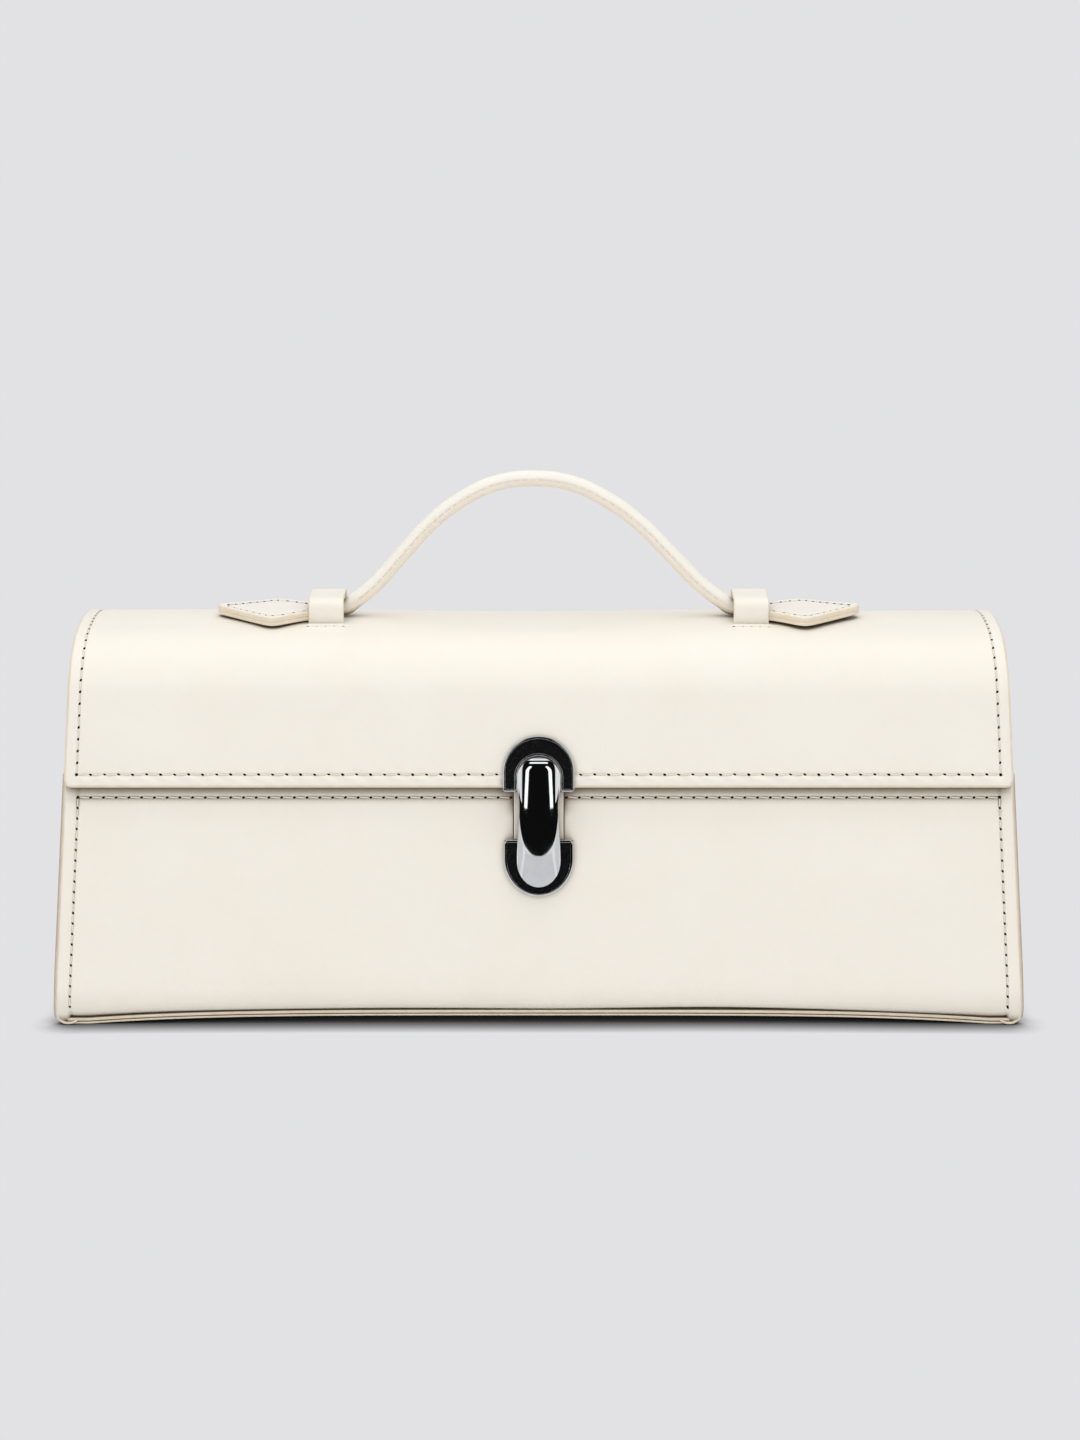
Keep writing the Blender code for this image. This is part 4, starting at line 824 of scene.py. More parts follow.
def make_panels():
    front = wall_path(FRONT, MOUTH_V, PANEL_BEND_RADIUS)
    shell = shell_piece("front_panel", "bag_body", "leather", [LOOK["front"], LOOK["paint"]],
                        front, 0.0, PANEL_LEATHER, HALF_WIDTH, name="front_leather",
                        relief=front_relief, tail_corner=PANEL_CORNER, seam_ways=[FRONT_ROW],
                        seam_sides=[FRONT_STITCH_INSET, FOOT_WIDTH], to_world=with_feet)
    reach = BASE_HALF_DEPTH + TUCK_DEPTH
    layers = (("base_panel", "leather"), ("base_reinforcement", "edge"))
    for level, (name, slot) in enumerate(layers):
        z = level * (BASE_LAYER + LAYER_GAP)
        flat = Path([straight((-reach, z), (reach, z))], 1)
        shell_piece(name, "bag_body", slot, PAINTED, flat, 0.0,
                    BASE_LAYER + level * LAYER_GAP, HALF_WIDTH - FOOT_WIDTH + FOOT_BLEND)
    return shell


def make_flap_lining():
    shell_piece("flap_lining", "flap", "lining", INSIDE_PAINTED, FLAP, FLAP_THICKNESS - LINING,
                FLAP_THICKNESS, HALF_WIDTH - 0.0002, corner=FLAP_CORNER, edge=0.0002)


LINING_DEPTH = PANEL_LEATHER + LAYER_GAP
GUSSET_INSET = 0.0057
GUSSET_X = HALF_WIDTH - GUSSET_INSET
GUSSET_LEATHER = 0.0014
LINING_HALF = GUSSET_X - 0.0004
LINING_STEP = 0.004
FACING_HEIGHT = 0.018
FACING_LEATHER = 0.0010
POCKET_HALF = 0.062
POCKET_TOP_WAY = HINGE_V - 0.084
POCKET_LOW_WAY = HINGE_V - 0.030


def make_linings():
    front, back = wall_path(FRONT, MOUTH_V), wall_path(BACK, HINGE_V - LAYER_GAP)
    inner = LINING_DEPTH + LINING
    shell_piece("front_facing", "bag_body", "leather", INSIDE_PAINTED, front, LINING_DEPTH,
                LINING_DEPTH + FACING_LEATHER, LINING_HALF, end=FACING_HEIGHT)
    shell_piece("front_lining", "bag_body", "lining", CLOTH, front, LINING_DEPTH, inner,
                LINING_HALF, start=FACING_HEIGHT + 0.0005, end=front.length - LIP_LENGTH,
                step=LINING_STEP)
    shell_piece("back_lining", "bag_body", "lining", CLOTH, back, LINING_DEPTH, inner,
                LINING_HALF, end=back.length - LIP_LENGTH, step=LINING_STEP)
    low = PANEL_BOTTOM_Z + LINING_DEPTH
    ends = [(wall.bend(BEND_RADIUS, PANEL_BOTTOM_Z)[0][0] - wall.side * 0.0005, low)
            for wall in (FRONT, BACK)]
    shell_piece("base_lining", "bag_body", "lining", CLOTH, Path([straight(*ends)], 1), 0.0,
                LINING, LINING_HALF, step=LINING_STEP)
    shell_piece("slip_pocket", "bag_body", "lining", [LOOK["lining"], LOOK["paint"]], back,
                inner + LAYER_GAP, inner + LAYER_GAP + LINING, POCKET_HALF,
                start=POCKET_TOP_WAY, end=POCKET_LOW_WAY)


def inner_line(wall, top_v, start):
    """A line in Y-Z just inside a panel, from near its top edge to its lip."""
    path = wall_path(wall, top_v)
    point, _, normal = path.at(np.linspace(start, path.length - LIP_LENGTH, GUSSET_ROWS))
    return point - normal * (LINING_DEPTH + 0.0002)


EDGE_CORNER = 0.0030
EDGE_LOW_Z = 0.0006
EDGE_START_Z = 0.011
EDGE_FLAT_INSET = 0.0044
EDGE_END_INSET = 0.0062
EDGE_END_Z = 0.0017
EDGE_SIDE_INSET = 0.0004
EDGE_DEPTH = 0.0004
EDGE_RADIUS = 0.00050
EDGE_POINTS = 60
GUSSET_BACK_START = 0.0065
GUSSET_ROWS = 48
GUSSET_COLUMNS = 40
GUSSET_BEND = 0.0022
GUSSET_CROWN = 0.0066
GUSSET_FOLD = 0.0016


def make_gussets():
    """Side walls: a flange against each panel that turns into a softly folded wall."""
    front, back = inner_line(FRONT, MOUTH_V, 0.0), inner_line(BACK, HINGE_V, GUSSET_BACK_START)
    share = np.linspace(0, 1, GUSSET_COLUMNS)
    wall = front[:, None] + (back - front)[:, None] * share[None, :, None]
    top = wall[0]
    crown, _, crown_normal = FLAP.at(np.linspace(0.004, FLAP_LENGTH - 0.004, 200))
    crown = crown - crown_normal * (FLAP_THICKNESS + GUSSET_CROWN - 0.0030)
    lift = np.interp(top[:, 0], crown[:, 0], crown[:, 1])
    heights = wall[:, :, 1]
    low, high = heights.min(axis=0), heights.max(axis=0)
    stretch = (heights - low) / (high - low)
    reached = np.maximum(lift, top[:, 1])
    wall[:, :, 1] = low + stretch * (reached - low)
    for side_name, side in SIDES:
        gusset_shell(side_name, side, wall)


def make_corner_edges():
    """Painted edges that wrap round the four lower corners and turn up to the base strip."""
    turn = np.linspace(0, math.pi / 2, 10)
    corner_x = EDGE_CORNER * (1 - np.cos(turn))
    corner_z = EDGE_LOW_Z + EDGE_CORNER * (1 - np.sin(turn))
    inset = np.r_[0.0, 0.0, corner_x, EDGE_FLAT_INSET, EDGE_END_INSET]
    z = np.r_[EDGE_START_Z, EDGE_LOW_Z + EDGE_CORNER * 1.6, corner_z, EDGE_LOW_Z + 0.0001,
              EDGE_END_Z]
    route = stacked(inset, z)
    run = distances(route)
    inset, z = sampled(np.linspace(0, run[-1], EDGE_POINTS), run, route).T
    radius = EDGE_RADIUS * np.sin(math.pi * np.linspace(0.04, 0.96, EDGE_POINTS)) ** 0.35
    lines = []
    for wall in (FRONT, BACK):
        for side in (-1, 1):
            y = wall.foot[0] + wall.up[0] / wall.up[1] * z - wall.side * EDGE_DEPTH
            points = shaped(stacked(side * (HALF_WIDTH - EDGE_SIDE_INSET - inset), y, z))
            lines.append((points, 0 * points + (0, wall.side, 0), radius, radius))
    settle(tubes("corner_painted_edges", lines, 10, LOOK["paint"]), "bag_body")


def gusset_shell(side_name, side, wall):
    """One side wall in leather, and its lining."""
    rows, columns = wall.shape[:2]
    y, z = wall[:, :, 0], wall[:, :, 1]
    across = np.linspace(0, 1, columns)[None, :] + 0 * y
    down = np.linspace(0, 1, rows)[:, None] + 0 * y
    edges = (y - y[:, :1], y - y[:, -1:], z - z[-1:])
    turn = unit(1 - np.abs(edges).min(axis=0) / GUSSET_BEND)
    flange = (GUSSET_INSET - 0.0003) * (1 - np.sqrt(unit(1 - turn ** 2.4)))
    fold = GUSSET_FOLD * np.sin(math.pi * across) ** 2 * (1 - down) ** 1.2
    fold = fold + 0.00025 * wander(y, z, 0.03, 5.5 + side)
    x = GUSSET_X + flange - fold * (1 - turn)
    rim = (turn > 0.97) | (down < 0.004)
    inside = GUSSET_X - fold
    for node, cover, to_world, outer, inner, keep, looks, slot in (
        ("gusset", "leather", gusset_feet, x + GUSSET_LEATHER * 0.9, x, slice(None), PAINTED,
         "leather"),
        ("gusset_lining", "cloth", shaped, inside - 0.0004, inside - 0.0011, slice(1, -1),
         CLOTH, "lining"),
    ):
        node = f"{node}_{side_name}"
        faces = [to_world(stacked(side * face, y, z)[:, keep]) for face in (outer, inner)]
        piece = closed_grid(f"{node}_{cover}", *faces, looks, rim[:, keep])
        settle(piece, "bag_body", slot, node)


# Keepers, strap ends and handle

KEEPER_X = 0.0662
KEEPER_ROW_X = KEEPER_X / (1 - TAPER_INSET / HALF_WIDTH)
KEEPER_HALF_WIDTH = 0.0055
KEEPER_LEATHER = 0.00095
KEEPER_HALF_SPAN = 0.0092
KEEPER_HEIGHT = 0.0075
KEEPER_CORNER = 0.0024
KEEPER_ROOT = 0.0026
TAB_LAYER = 0.00125
TAB_LIFT = TAB_LAYER + 0.0003
TAB_INNER_X = 0.0682
TAB_NARROW_X = 0.0723
TAB_WIDE_X = 0.0827
TAB_TIP_X = 0.1005
TAB_END_HALF = 0.0079
TAB_WIDE_HALF = 0.0150
TAB_TIP_HALF = 0.0016
TAB_LIFT_RUN = 0.016
TAB_TIP_LIFT = 0.0007
TAB_DROOP = 2.6
TAB_ROW_START = 0.0052
TAB_STITCH_INSET = 0.0025
TAB_STITCH_PITCH = 0.0027


def make_keeper(side_name, side):
    """Narrow loop over the handle; it stands in two slots of the flap."""
    half, low, high = KEEPER_HALF_SPAN, FLAP_TOP_Z - KEEPER_ROOT, FLAP_TOP_Z + KEEPER_HEIGHT
    corner = KEEPER_CORNER + KEEPER_LEATHER / 2
    knee, bend = half - corner, high - corner
    pieces = [
        straight((-half, low), (-half, bend)),
        arc((-knee, bend), corner, math.pi, math.pi / 2),
        straight((-knee, high), (knee, high)),
        arc((knee, bend), corner, math.pi / 2, 0.0),
        straight((half, bend), (half, low)),
    ]

    def beside(points):
        moved = points.copy()
        moved[..., 0] = side * (KEEPER_X + points[..., 0])
        return moved

    def relief(way, x):
        edge = KEEPER_HALF_WIDTH - np.abs(x)
        return -0.00010 * np.exp(-((edge - 0.0010) / 0.0004) ** 2) + 0.00008 * wander(
            x, way, 0.006, 3.5)

    shell_piece(f"keeper_{side_name}", "flap", "leather", PAINTED, Path(pieces, -1), 0.0,
                KEEPER_LEATHER, KEEPER_HALF_WIDTH, relief=relief, to_world=beside,
                step=FINE_STEP, edge=0.00035)


def tab_half(x):
    """Half width of the strap end: a narrow neck, a wide shoulder and a blunt tip."""
    shares = between(x, TAB_NARROW_X, TAB_WIDE_X) ** 1.1
    rising = TAB_END_HALF + (TAB_WIDE_HALF - TAB_END_HALF) * shares
    falling = np.interp(x, (TAB_WIDE_X, TAB_TIP_X), (TAB_WIDE_HALF, TAB_TIP_HALF))
    return np.minimum(rising, falling) - 0.0009 * unit(1 - np.abs(x - TAB_WIDE_X) / 0.0030) ** 2


def make_tab(side_name, side):
    """Two layers of leather cut to a pointed end, stitched round."""
    xs = np.linspace(TAB_INNER_X, TAB_TIP_X, 60)
    rise = TAB_TIP_LIFT * between(xs, TAB_TIP_X - TAB_LIFT_RUN, TAB_TIP_X) ** 2
    length = distances(stacked(xs, rise))[-1]

    def turned(points):
        y, x, z = np.moveaxis(points, -1, 0)
        return stacked(side * x, y, z - TAB_DROOP * y ** 2)

    def half(way):
        blunt = np.sqrt(np.clip(1 - unit(1 - (length - way) / 0.0014) ** 2, 0.02, 1))
        return tab_half(TAB_INNER_X + way) * blunt

    def relief(way, x):
        edge = np.minimum((half(way) - np.abs(x)) * 0.85, length - way)
        dip = 0.00020 * np.exp(-((edge - TAB_STITCH_INSET) / 0.0007) ** 2)
        return 0.00014 * np.sin(math.pi * unit(edge / TAB_STITCH_INSET)) - dip

    for part, slot, lift, thickness, raised in (
        ("tab_lining", "edge", TAB_LIFT + 0.00012, TAB_LAYER, flat_relief),
        ("tab_top", "leather", 2 * TAB_LIFT, TAB_LAYER + 0.00025, relief),
    ):
        shell = shell_piece(f"{part}_{side_name}", "flap", slot, [LOOK["rolled"], LOOK["paint"]],
                            Path([stacked(xs, FLAP_TOP_Z + lift + rise)], -1), 0.0, thickness,
                            TAB_WIDE_HALF, width_at=half, relief=raised, to_world=turned,
                            step=FINE_STEP, edge=0.00040)
    corner, tip = TAB_WIDE_X - TAB_INNER_X, length - TAB_STITCH_INSET * 1.25
    ways = np.concatenate((row((TAB_ROW_START, 0), (corner, 0), TAB_STITCH_PITCH),
                           row((corner, 0), (tip, 0), TAB_STITCH_PITCH * 0.80)[1:]))[:, 0]
    reach = np.clip(shell.reach(ways) - TAB_STITCH_INSET * 1.12, 0.0006, None)
    for face, face_name in ((-1, "front"), (1, "back")):
        stitches(f"tab_{side_name}_{face_name}", shell, stacked(ways, face * reach), 0.00018,
                 "flap", width=0.00042)


HANDLE_RADIUS = 0.0025
HANDLE_AXIS_Z = FLAP_TOP_Z + 0.0030
HANDLE_ROUTE = (
    (0.0676, 0.0), (0.0640, 0.0), (0.0603, 0.0001), (0.0575, 0.0021), (0.0545, 0.0043),
    (0.0500, 0.0082), (0.0450, 0.0136), (0.0401, 0.0190), (0.0355, 0.0240), (0.0307, 0.0284),
    (0.0259, 0.0322), (0.0166, 0.0376), (0.0080, 0.0403), (0.0000, 0.0409),
)
HANDLE_LEAN_X = -0.0017
HANDLE_SIDES = 40
HANDLE_STEPS = 10
HANDLE_SEAM_DIP = 0.00012
HANDLE_ROW_START = 0.012
HANDLE_PITCH = 0.0026


def handle_line():
    """Smooth centre line of the handle from the left keeper to the right one."""
    x, rise = np.array(HANDLE_ROUTE).T
    lean = HANDLE_LEAN_X * rise / rise[-1]
    points = np.concatenate((stacked(lean - x, rise), stacked(lean + x, rise)[-2::-1]))
    held = np.concatenate((points[:1], points, points[-1:]))
    t = np.arange(HANDLE_STEPS)[:, None] / HANDLE_STEPS
    line = [0.5 * (2 * p1 + (p2 - p0) * t + (2 * p0 - 5 * p1 + 4 * p2 - p3) * t ** 2
                   + (3 * p1 - p0 - 3 * p2 + p3) * t ** 3)
            for p0, p1, p2, p3 in zip(held, held[1:], held[2:], held[3:])]
    x, rise = np.concatenate((*line, points[-1:])).T
    return stacked(x, 0 * x, HANDLE_AXIS_Z + rise)


class HandleSkin:
    """Places on the rolled leather: way along the handle, x the turn round it."""

    def __init__(self, line):
        self.line, self.way = line, distances(line)
        self.tangent = unit_vectors(np.gradient(line, axis=0))

    def place(self, way, turn, lift=0.0):
        way, turn, lift = np.broadcast_arrays(np.asarray(way, float), turn, lift)
        along = unit_vectors(sampled(way, self.way, self.tangent))
        front = np.broadcast_to(np.array((0.0, -1.0, 0.0)), along.shape)
        up = np.cross(front, along)
        seam = np.angle(np.exp(1j * turn))
        radius = HANDLE_RADIUS + lift - HANDLE_SEAM_DIP * np.exp(-(seam / 0.13) ** 2)
        outward = front * np.cos(turn)[..., None] + up * np.sin(turn)[..., None]
        return sampled(way, self.way, self.line) + radius[..., None] * outward


def make_handle():
    """Rolled leather over a cord, its seam and stitches along the front."""
    line = handle_line()
    skin = HandleSkin(line)
    turns = np.arange(HANDLE_SIDES) * math.tau / HANDLE_SIDES
    bunch = turns - 0.55 * np.sin(turns)
    rings = skin.place(skin.way[:, None], bunch[None, :])
    faces = ring_faces(0, len(line), HANDLE_SIDES)
    looks = [LOOK["rolled"], LOOK["rolled_shaded_low"], LOOK["paint"]]
    roll = mesh_object("handle_rolled_leather", rings.reshape(-1, 3), faces, looks)
    # The lower half of the roll takes the painted-shade leather
    shaded_low_half = np.tile(np.arange(HANDLE_SIDES) >= HANDLE_SIDES // 2, len(line) - 1)
    roll.data.polygons.foreach_set("material_index", np.r_[shaded_low_half, 2, 2].astype(np.int32))
    settle(roll, "handle", "leather", "handle_wrap", "handle_core")
    holes = row((HANDLE_ROW_START, 0.0), (skin.way[-1] - HANDLE_ROW_START, 0.0), HANDLE_PITCH)
    stitches("handle_seam", skin, holes, 0.0, "handle", width=0.00034, dark=False)


# Clasp

SHARP_ANGLE = math.radians(35)
STEEL_BEVEL = 0.00010
ARCH_POINTS = 90
BEAD_INSET = 0.00066
BEAD_OUTER = 0.00070
BEAD_INNER = 0.00012
BEAD_RISE = 0.00020
LOWER_BEAD_RISE = 0.00022
BEAD_STEP = 0.00012
BEAD_SIDES = 20
UPPER_BOTTOM_V = 0.0745
UPPER_TOP_V = 0.0915
UPPER_HALF_WIDTH = 0.0110
UPPER_OPENING_HALF = 0.00675
UPPER_OPENING_TOP_V = 0.0855
UPPER_FACE_N = 0.0059
LOWER_BOTTOM_V = 0.0417
LOWER_STRAIGHT_V = 0.0530
LOWER_TOP_V = 0.0591
LOWER_HALF_WIDTH = 0.0105
LOWER_FACE_N = 0.0030
NECK_TOP_V = 0.0750
NECK_HALF_WIDTH = 0.0079
NECK_FACE_N = 0.0013
PILL_BOTTOM_V = 0.0447
PILL_BELLY_V = 0.0530
PILL_WAIST_V = 0.0705
PILL_HEAD_V = 0.0783
PILL_TOP_V = 0.0851
PILL_LOW_HALF = 0.00670
PILL_WAIST_HALF = 0.0059
PILL_HEAD_HALF = 0.0068
PILL_FACE_N = 0.0090
PILL_HIGH_V = 0.072
PILL_SLOPE_V = 0.054
PILL_BOW = 4.0
PILL_TOE_BOW = 20.3
PILL_HEAD_ROUND = 0.0038
PILL_ROUND_HALF = 0.00688
PILL_CROWN = 0.0025
PILL_CROWN_POWER = 2.2
PILL_STEP_V = 0.0688
PILL_LOW_UNDER_N = 0.0033
PILL_HIGH_UNDER_N = 0.0062
SHANK_HALF_WIDTH = 0.0015
SHANK_LOW_V = 0.0780
SHANK_TOP_V = 0.0800
SHANK_FRONT_N = PILL_HIGH_UNDER_N + 0.0003
SHANK_BACK_N = -0.0002


def clasp_world(points):
    """Front panel frame (u, v, n) to world."""
    u, v, n = np.moveaxis(points, -1, 0)
    sin, cos = math.sin(FRONT_LEAN), math.cos(FRONT_LEAN)
    return stacked(u, FRONT_FOOT_Y + v * sin - n * cos, v * cos + n * sin)


def refined(node, body, look):
    """The node's own shape in a new piece that stands for it; steel gets broken edges."""
    form = bmesh.new()
    form.from_mesh(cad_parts[node].data)
    bmesh.ops.remove_doubles(form, verts=form.verts, dist=1e-6)
    bmesh.ops.dissolve_limit(form, angle_limit=math.radians(1), verts=form.verts, edges=form.edges)
    if look == "steel":
        sharp = [edge for edge in form.edges
                 if len(edge.link_faces) == 2 and edge.calc_face_angle() > SHARP_ANGLE]
        bmesh.ops.bevel(form, geom=sharp, offset=STEEL_BEVEL, segments=3, profile=0.5,
                        affect="EDGES", clamp_overlap=True)
    verts = [vert.co.copy() for vert in form.verts]
    faces = [[vert.index for vert in face.verts] for face in form.faces]
    form.free()
    piece = mesh_object(f"{node}_finish", verts, faces, [LOOK[look]])
    piece.data.set_sharp_from_angle(angle=SHARP_ANGLE)
    settle(piece, body, "enamel" if look == "enamel" else "metal", node)


def arch_line(half, foot_v, top_v):
    """Up the left side, over a half round and down the right side, in u and v."""
    turns = np.linspace(math.pi, 0, ARCH_POINTS)
    over = (0, top_v - half) + half * stacked(np.cos(turns), np.sin(turns))
    return np.concatenate(([(-half, foot_v)], over, [(half, foot_v)]))


def cup_line(half, bottom_v, top_v):
    """Down the left side, round a half ellipse and up the right side, in u and v."""
    turns = np.linspace(math.pi, math.tau, ARCH_POINTS)
    depth = LOWER_STRAIGHT_V - bottom_v
    under = stacked(half * np.cos(turns), LOWER_STRAIGHT_V + depth * np.sin(turns))
    return np.concatenate(([(-half, top_v)], under, [(half, top_v)]))


def bead_loop(name, outline, n, rise, body):
    """Half-round bead on a plate's rim, along a closed line whose corners are eased."""
    closed = np.concatenate((outline, outline[:1]))
    way = distances(closed)
    count = int(way[-1] / BEAD_STEP)
    line = sampled(np.arange(count) * way[-1] / count, way, closed)
    line = sum(np.roll(line, shift, axis=0) for shift in range(-2, 3)) / 5
    along = unit_vectors(np.roll(line, -1, axis=0) - np.roll(line, 1, axis=0))
    across = stacked(along[:, 1], -along[:, 0])
    area = np.sum(line[:, 0] * np.roll(line[:, 1], -1) - np.roll(line[:, 0], -1) * line[:, 1])
    turns = np.arange(BEAD_SIDES) * math.tau / BEAD_SIDES
    outward = np.cos(turns) * math.copysign(1.0, area)
    spread_out = np.where(np.cos(turns) > 0, BEAD_OUTER, BEAD_INNER) * outward
    place = line[:, None] + across[:, None] * spread_out[None, :, None]
    height = n + rise * np.sin(turns)[None, :, None] + 0 * place[..., :1]
    verts = clasp_world(np.concatenate((place, height), axis=-1)).reshape(-1, 3)
    index = np.arange(len(verts)).reshape(place.shape[:2])
    ahead = np.roll(index, -1, axis=0)
    faces = stacked(index, ahead, np.roll(ahead, -1, axis=1), np.roll(index, -1, axis=1))
    settle(mesh_object(name, verts, faces.reshape(-1, 4), [LOOK["chrome"]]), body)


def make_beads():
    """Rims of the two plates: round the upper horseshoe, and round the lower cup."""
    inset = BEAD_INSET
    foot = UPPER_BOTTOM_V + inset
    outer = arch_line(UPPER_HALF_WIDTH - inset, foot, UPPER_TOP_V - inset)
    inner = arch_line(UPPER_OPENING_HALF + inset, foot, UPPER_OPENING_TOP_V + inset)
    bead_loop("upper_rim_bead", np.concatenate((outer, inner[::-1])), UPPER_FACE_N, BEAD_RISE,
              "flap")
    cup = cup_line(LOWER_HALF_WIDTH - inset, LOWER_BOTTOM_V + inset, LOWER_TOP_V - inset)
    bead_loop("lower_rim_bead", cup, LOWER_FACE_N, LOWER_BEAD_RISE, "bag_body")


def pill_half_width(v):
    low = between(v, PILL_BELLY_V, PILL_BOTTOM_V)
    high = between(v, PILL_HEAD_V, PILL_TOP_V)
    to_belly = eased(between(v, PILL_WAIST_V, PILL_BELLY_V))
    to_head = eased(between(v, PILL_WAIST_V, PILL_HEAD_V))
    half = (PILL_WAIST_HALF + (PILL_LOW_HALF - PILL_WAIST_HALF) * to_belly
            + (PILL_HEAD_HALF - PILL_WAIST_HALF) * to_head)
    return half * np.sqrt((1 - low ** 2) * (1 - high ** 2))


def pill_face(v):
    """Height of the slider's ridge: bowed along its length, dropping to its toe."""
    bowed = PILL_FACE_N - PILL_BOW * (np.maximum(v, PILL_SLOPE_V) - PILL_HIGH_V) ** 2
    below = np.clip(PILL_SLOPE_V - v, 0, None)
    slope = 2 * PILL_BOW * (PILL_HIGH_V - PILL_SLOPE_V)
    bowed = bowed - slope * below - PILL_TOE_BOW * below ** 2
    head = between(v, PILL_TOP_V - PILL_HEAD_ROUND, PILL_TOP_V)
    return bowed - 0.0019 * (1 - np.sqrt(1 - np.minimum(head, 0.9999) ** 2))


def make_slider():
    """Mirror slider: bowed along and across, rounded at both ends, with its shank."""
    ends = 0.5 - 0.5 * np.cos(np.linspace(0, math.pi, 90))
    vs = PILL_BOTTOM_V + (PILL_TOP_V - PILL_BOTTOM_V) * ends
    across = np.sin(np.linspace(-math.pi / 2, math.pi / 2, 45))
    v = vs[:, None] + 0 * across
    t = across[None, :] + 0 * v
    half = np.maximum(pill_half_width(v), 0.00004)
    turn = np.abs(half * t) / PILL_ROUND_HALF
    crown = PILL_CROWN * (1 - np.sqrt(unit(1 - turn ** PILL_CROWN_POWER)))
    step = unit((v - PILL_STEP_V) / 0.0004 + 0.5)
    under = PILL_LOW_UNDER_N + (PILL_HIGH_UNDER_N - PILL_LOW_UNDER_N) * step
    face = np.maximum(pill_face(v) - crown, under + 0.0004)
    faces = [clasp_world(stacked(half * t, v, n)) for n in (face, under)]
    pill = closed_grid("clasp_slider_mirror", *faces, [LOOK["chrome"]])
    settle(pill, "slider", "metal", "clasp_slider")
    u, v = np.meshgrid((-SHANK_HALF_WIDTH, SHANK_HALF_WIDTH), (SHANK_LOW_V, SHANK_TOP_V))
    ends = [clasp_world(stacked(u, v, n + 0 * u)) for n in (SHANK_FRONT_N, SHANK_BACK_N)]
    settle(closed_grid("slider_shank_steel", *ends, [LOOK["steel"]]), "slider")


def make_neck_cover():
    """Leather laid into the neck of the lower plate, its thin metal edges left bare."""
    height = NECK_TOP_V - LOWER_TOP_V
    path = Path([straight(FRONT.at(NECK_TOP_V - 0.0001), FRONT.at(LOWER_TOP_V + 0.0001))], 1)

    def relief(way, x):
        return 0.00005 * wander(x, way, 0.004, 8.5)

    shell_piece(None, "bag_body", "leather", PAINTED, path, -NECK_FACE_N - 0.0004,
                -NECK_FACE_N, NECK_HALF_WIDTH - 0.00025, name="neck_leather_inlay",
                relief=relief, to_world=plain_map, step=FINE_STEP, edge=0.00015,
                end=height - 0.0002)


def make_clasp():
    plates = (("upper", "flap"), ("lower", "bag_body"))
    for part, look in (("plate", "chrome"), ("inlay", "enamel"), ("backing", "steel")):
        for plate, body in plates:
            refined(f"clasp_{plate}_{part}", body, look)
    refined("slider_hook", "slider", "steel")
    refined("slider_retainer", "slider", "steel")
    for plate, body in plates:
        for side_name, _ in SIDES:
            refined(f"clasp_{plate}_rivet_{side_name}", body, "steel")
    make_beads()
    make_slider()
    make_neck_cover()


# Stitching

CLASP_GAP_HALF = 0.0108
NECK_GAP_HALF = 0.0088
FLAP_ROW_END = 0.010
FRONT_ROW_END = 0.0092
BACK_ROW_START = 0.012
BACK_ROW_END = 0.020
KEEPER_PITCH = 0.0028


def sew_bag(wrap, front):
    """Rows of the flap, the front panel, the back panel and the keepers."""
    reach = HALF_WIDTH - FLAP_STITCH_INSET
    low_reach = HALF_WIDTH - FRONT_STITCH_INSET
    low = row((FLAP_STITCH_INSET, -reach), (FLAP_STITCH_INSET, reach), FLAP_ROW_PITCH)
    low = low[np.abs(low[:, 1]) > CLASP_GAP_HALF]
    back_way = FLAP_LENGTH + BACK_ROW
    back = row((back_way, -low_reach), (back_way, low_reach), FRONT_STITCH_PITCH)
    for side_name, side in SIDES:
        x, low_x = side * reach, side * low_reach
        for name, shell, holes, slant, body in (
            ("flap_low", wrap, low[low[:, 1] * side > 0], 0.00035, "flap"),
            ("flap_side", wrap, row((FLAP_STITCH_INSET, x), (FLAP_LENGTH - FLAP_ROW_END, x),
                                    FLAP_STITCH_PITCH), 0.00025, "flap"),
            ("back_side", wrap, row((FLAP_LENGTH + BACK_ROW_START, low_x),
                                    (wrap.path.length - BACK_ROW_END, low_x),
                                    SIDE_STITCH_PITCH), 0.00025, "bag_body"),
            ("front_side", front, row((FRONT_ROW, low_x),
                                      (front.path.length - FRONT_ROW_END, low_x),
                                      SIDE_STITCH_PITCH), 0.00020, "bag_body"),
            ("front_row", front, row((FRONT_ROW, side * NECK_GAP_HALF), (FRONT_ROW, low_x),
                                     FRONT_STITCH_PITCH), 0.00040, "bag_body"),
        ):
            stitches(f"{name}_{side_name}", shell, holes, slant, body)
    stitches("back_row", wrap, back, 0.00035, "bag_body")
    for side_name, side in SIDES:
        for face, turn in (("front", -1), ("back", 1)):
            way, x = RIDGE_WAY + turn * KEEPER_ROW_REACH, side * KEEPER_ROW_X
            across = row((way, x - KEEPER_ROW_HALF), (way, x + KEEPER_ROW_HALF), KEEPER_PITCH)
            stitches(f"keeper_{side_name}_{face}", wrap, across, 0.00015, "flap")


# Floor, light and camera

STUDIO_GREY = (0.761, 0.761, 0.775)
FLOOR_HALF = 3.0
SHADOW_REACH = 0.009
SHADOW_DEPTH = 2.0
SHADOW_SAMPLES = 16
CARD_Y = -0.27


def oblong(left, right, low, high):
    return (left, low), (right, low), (right, high), (left, high)


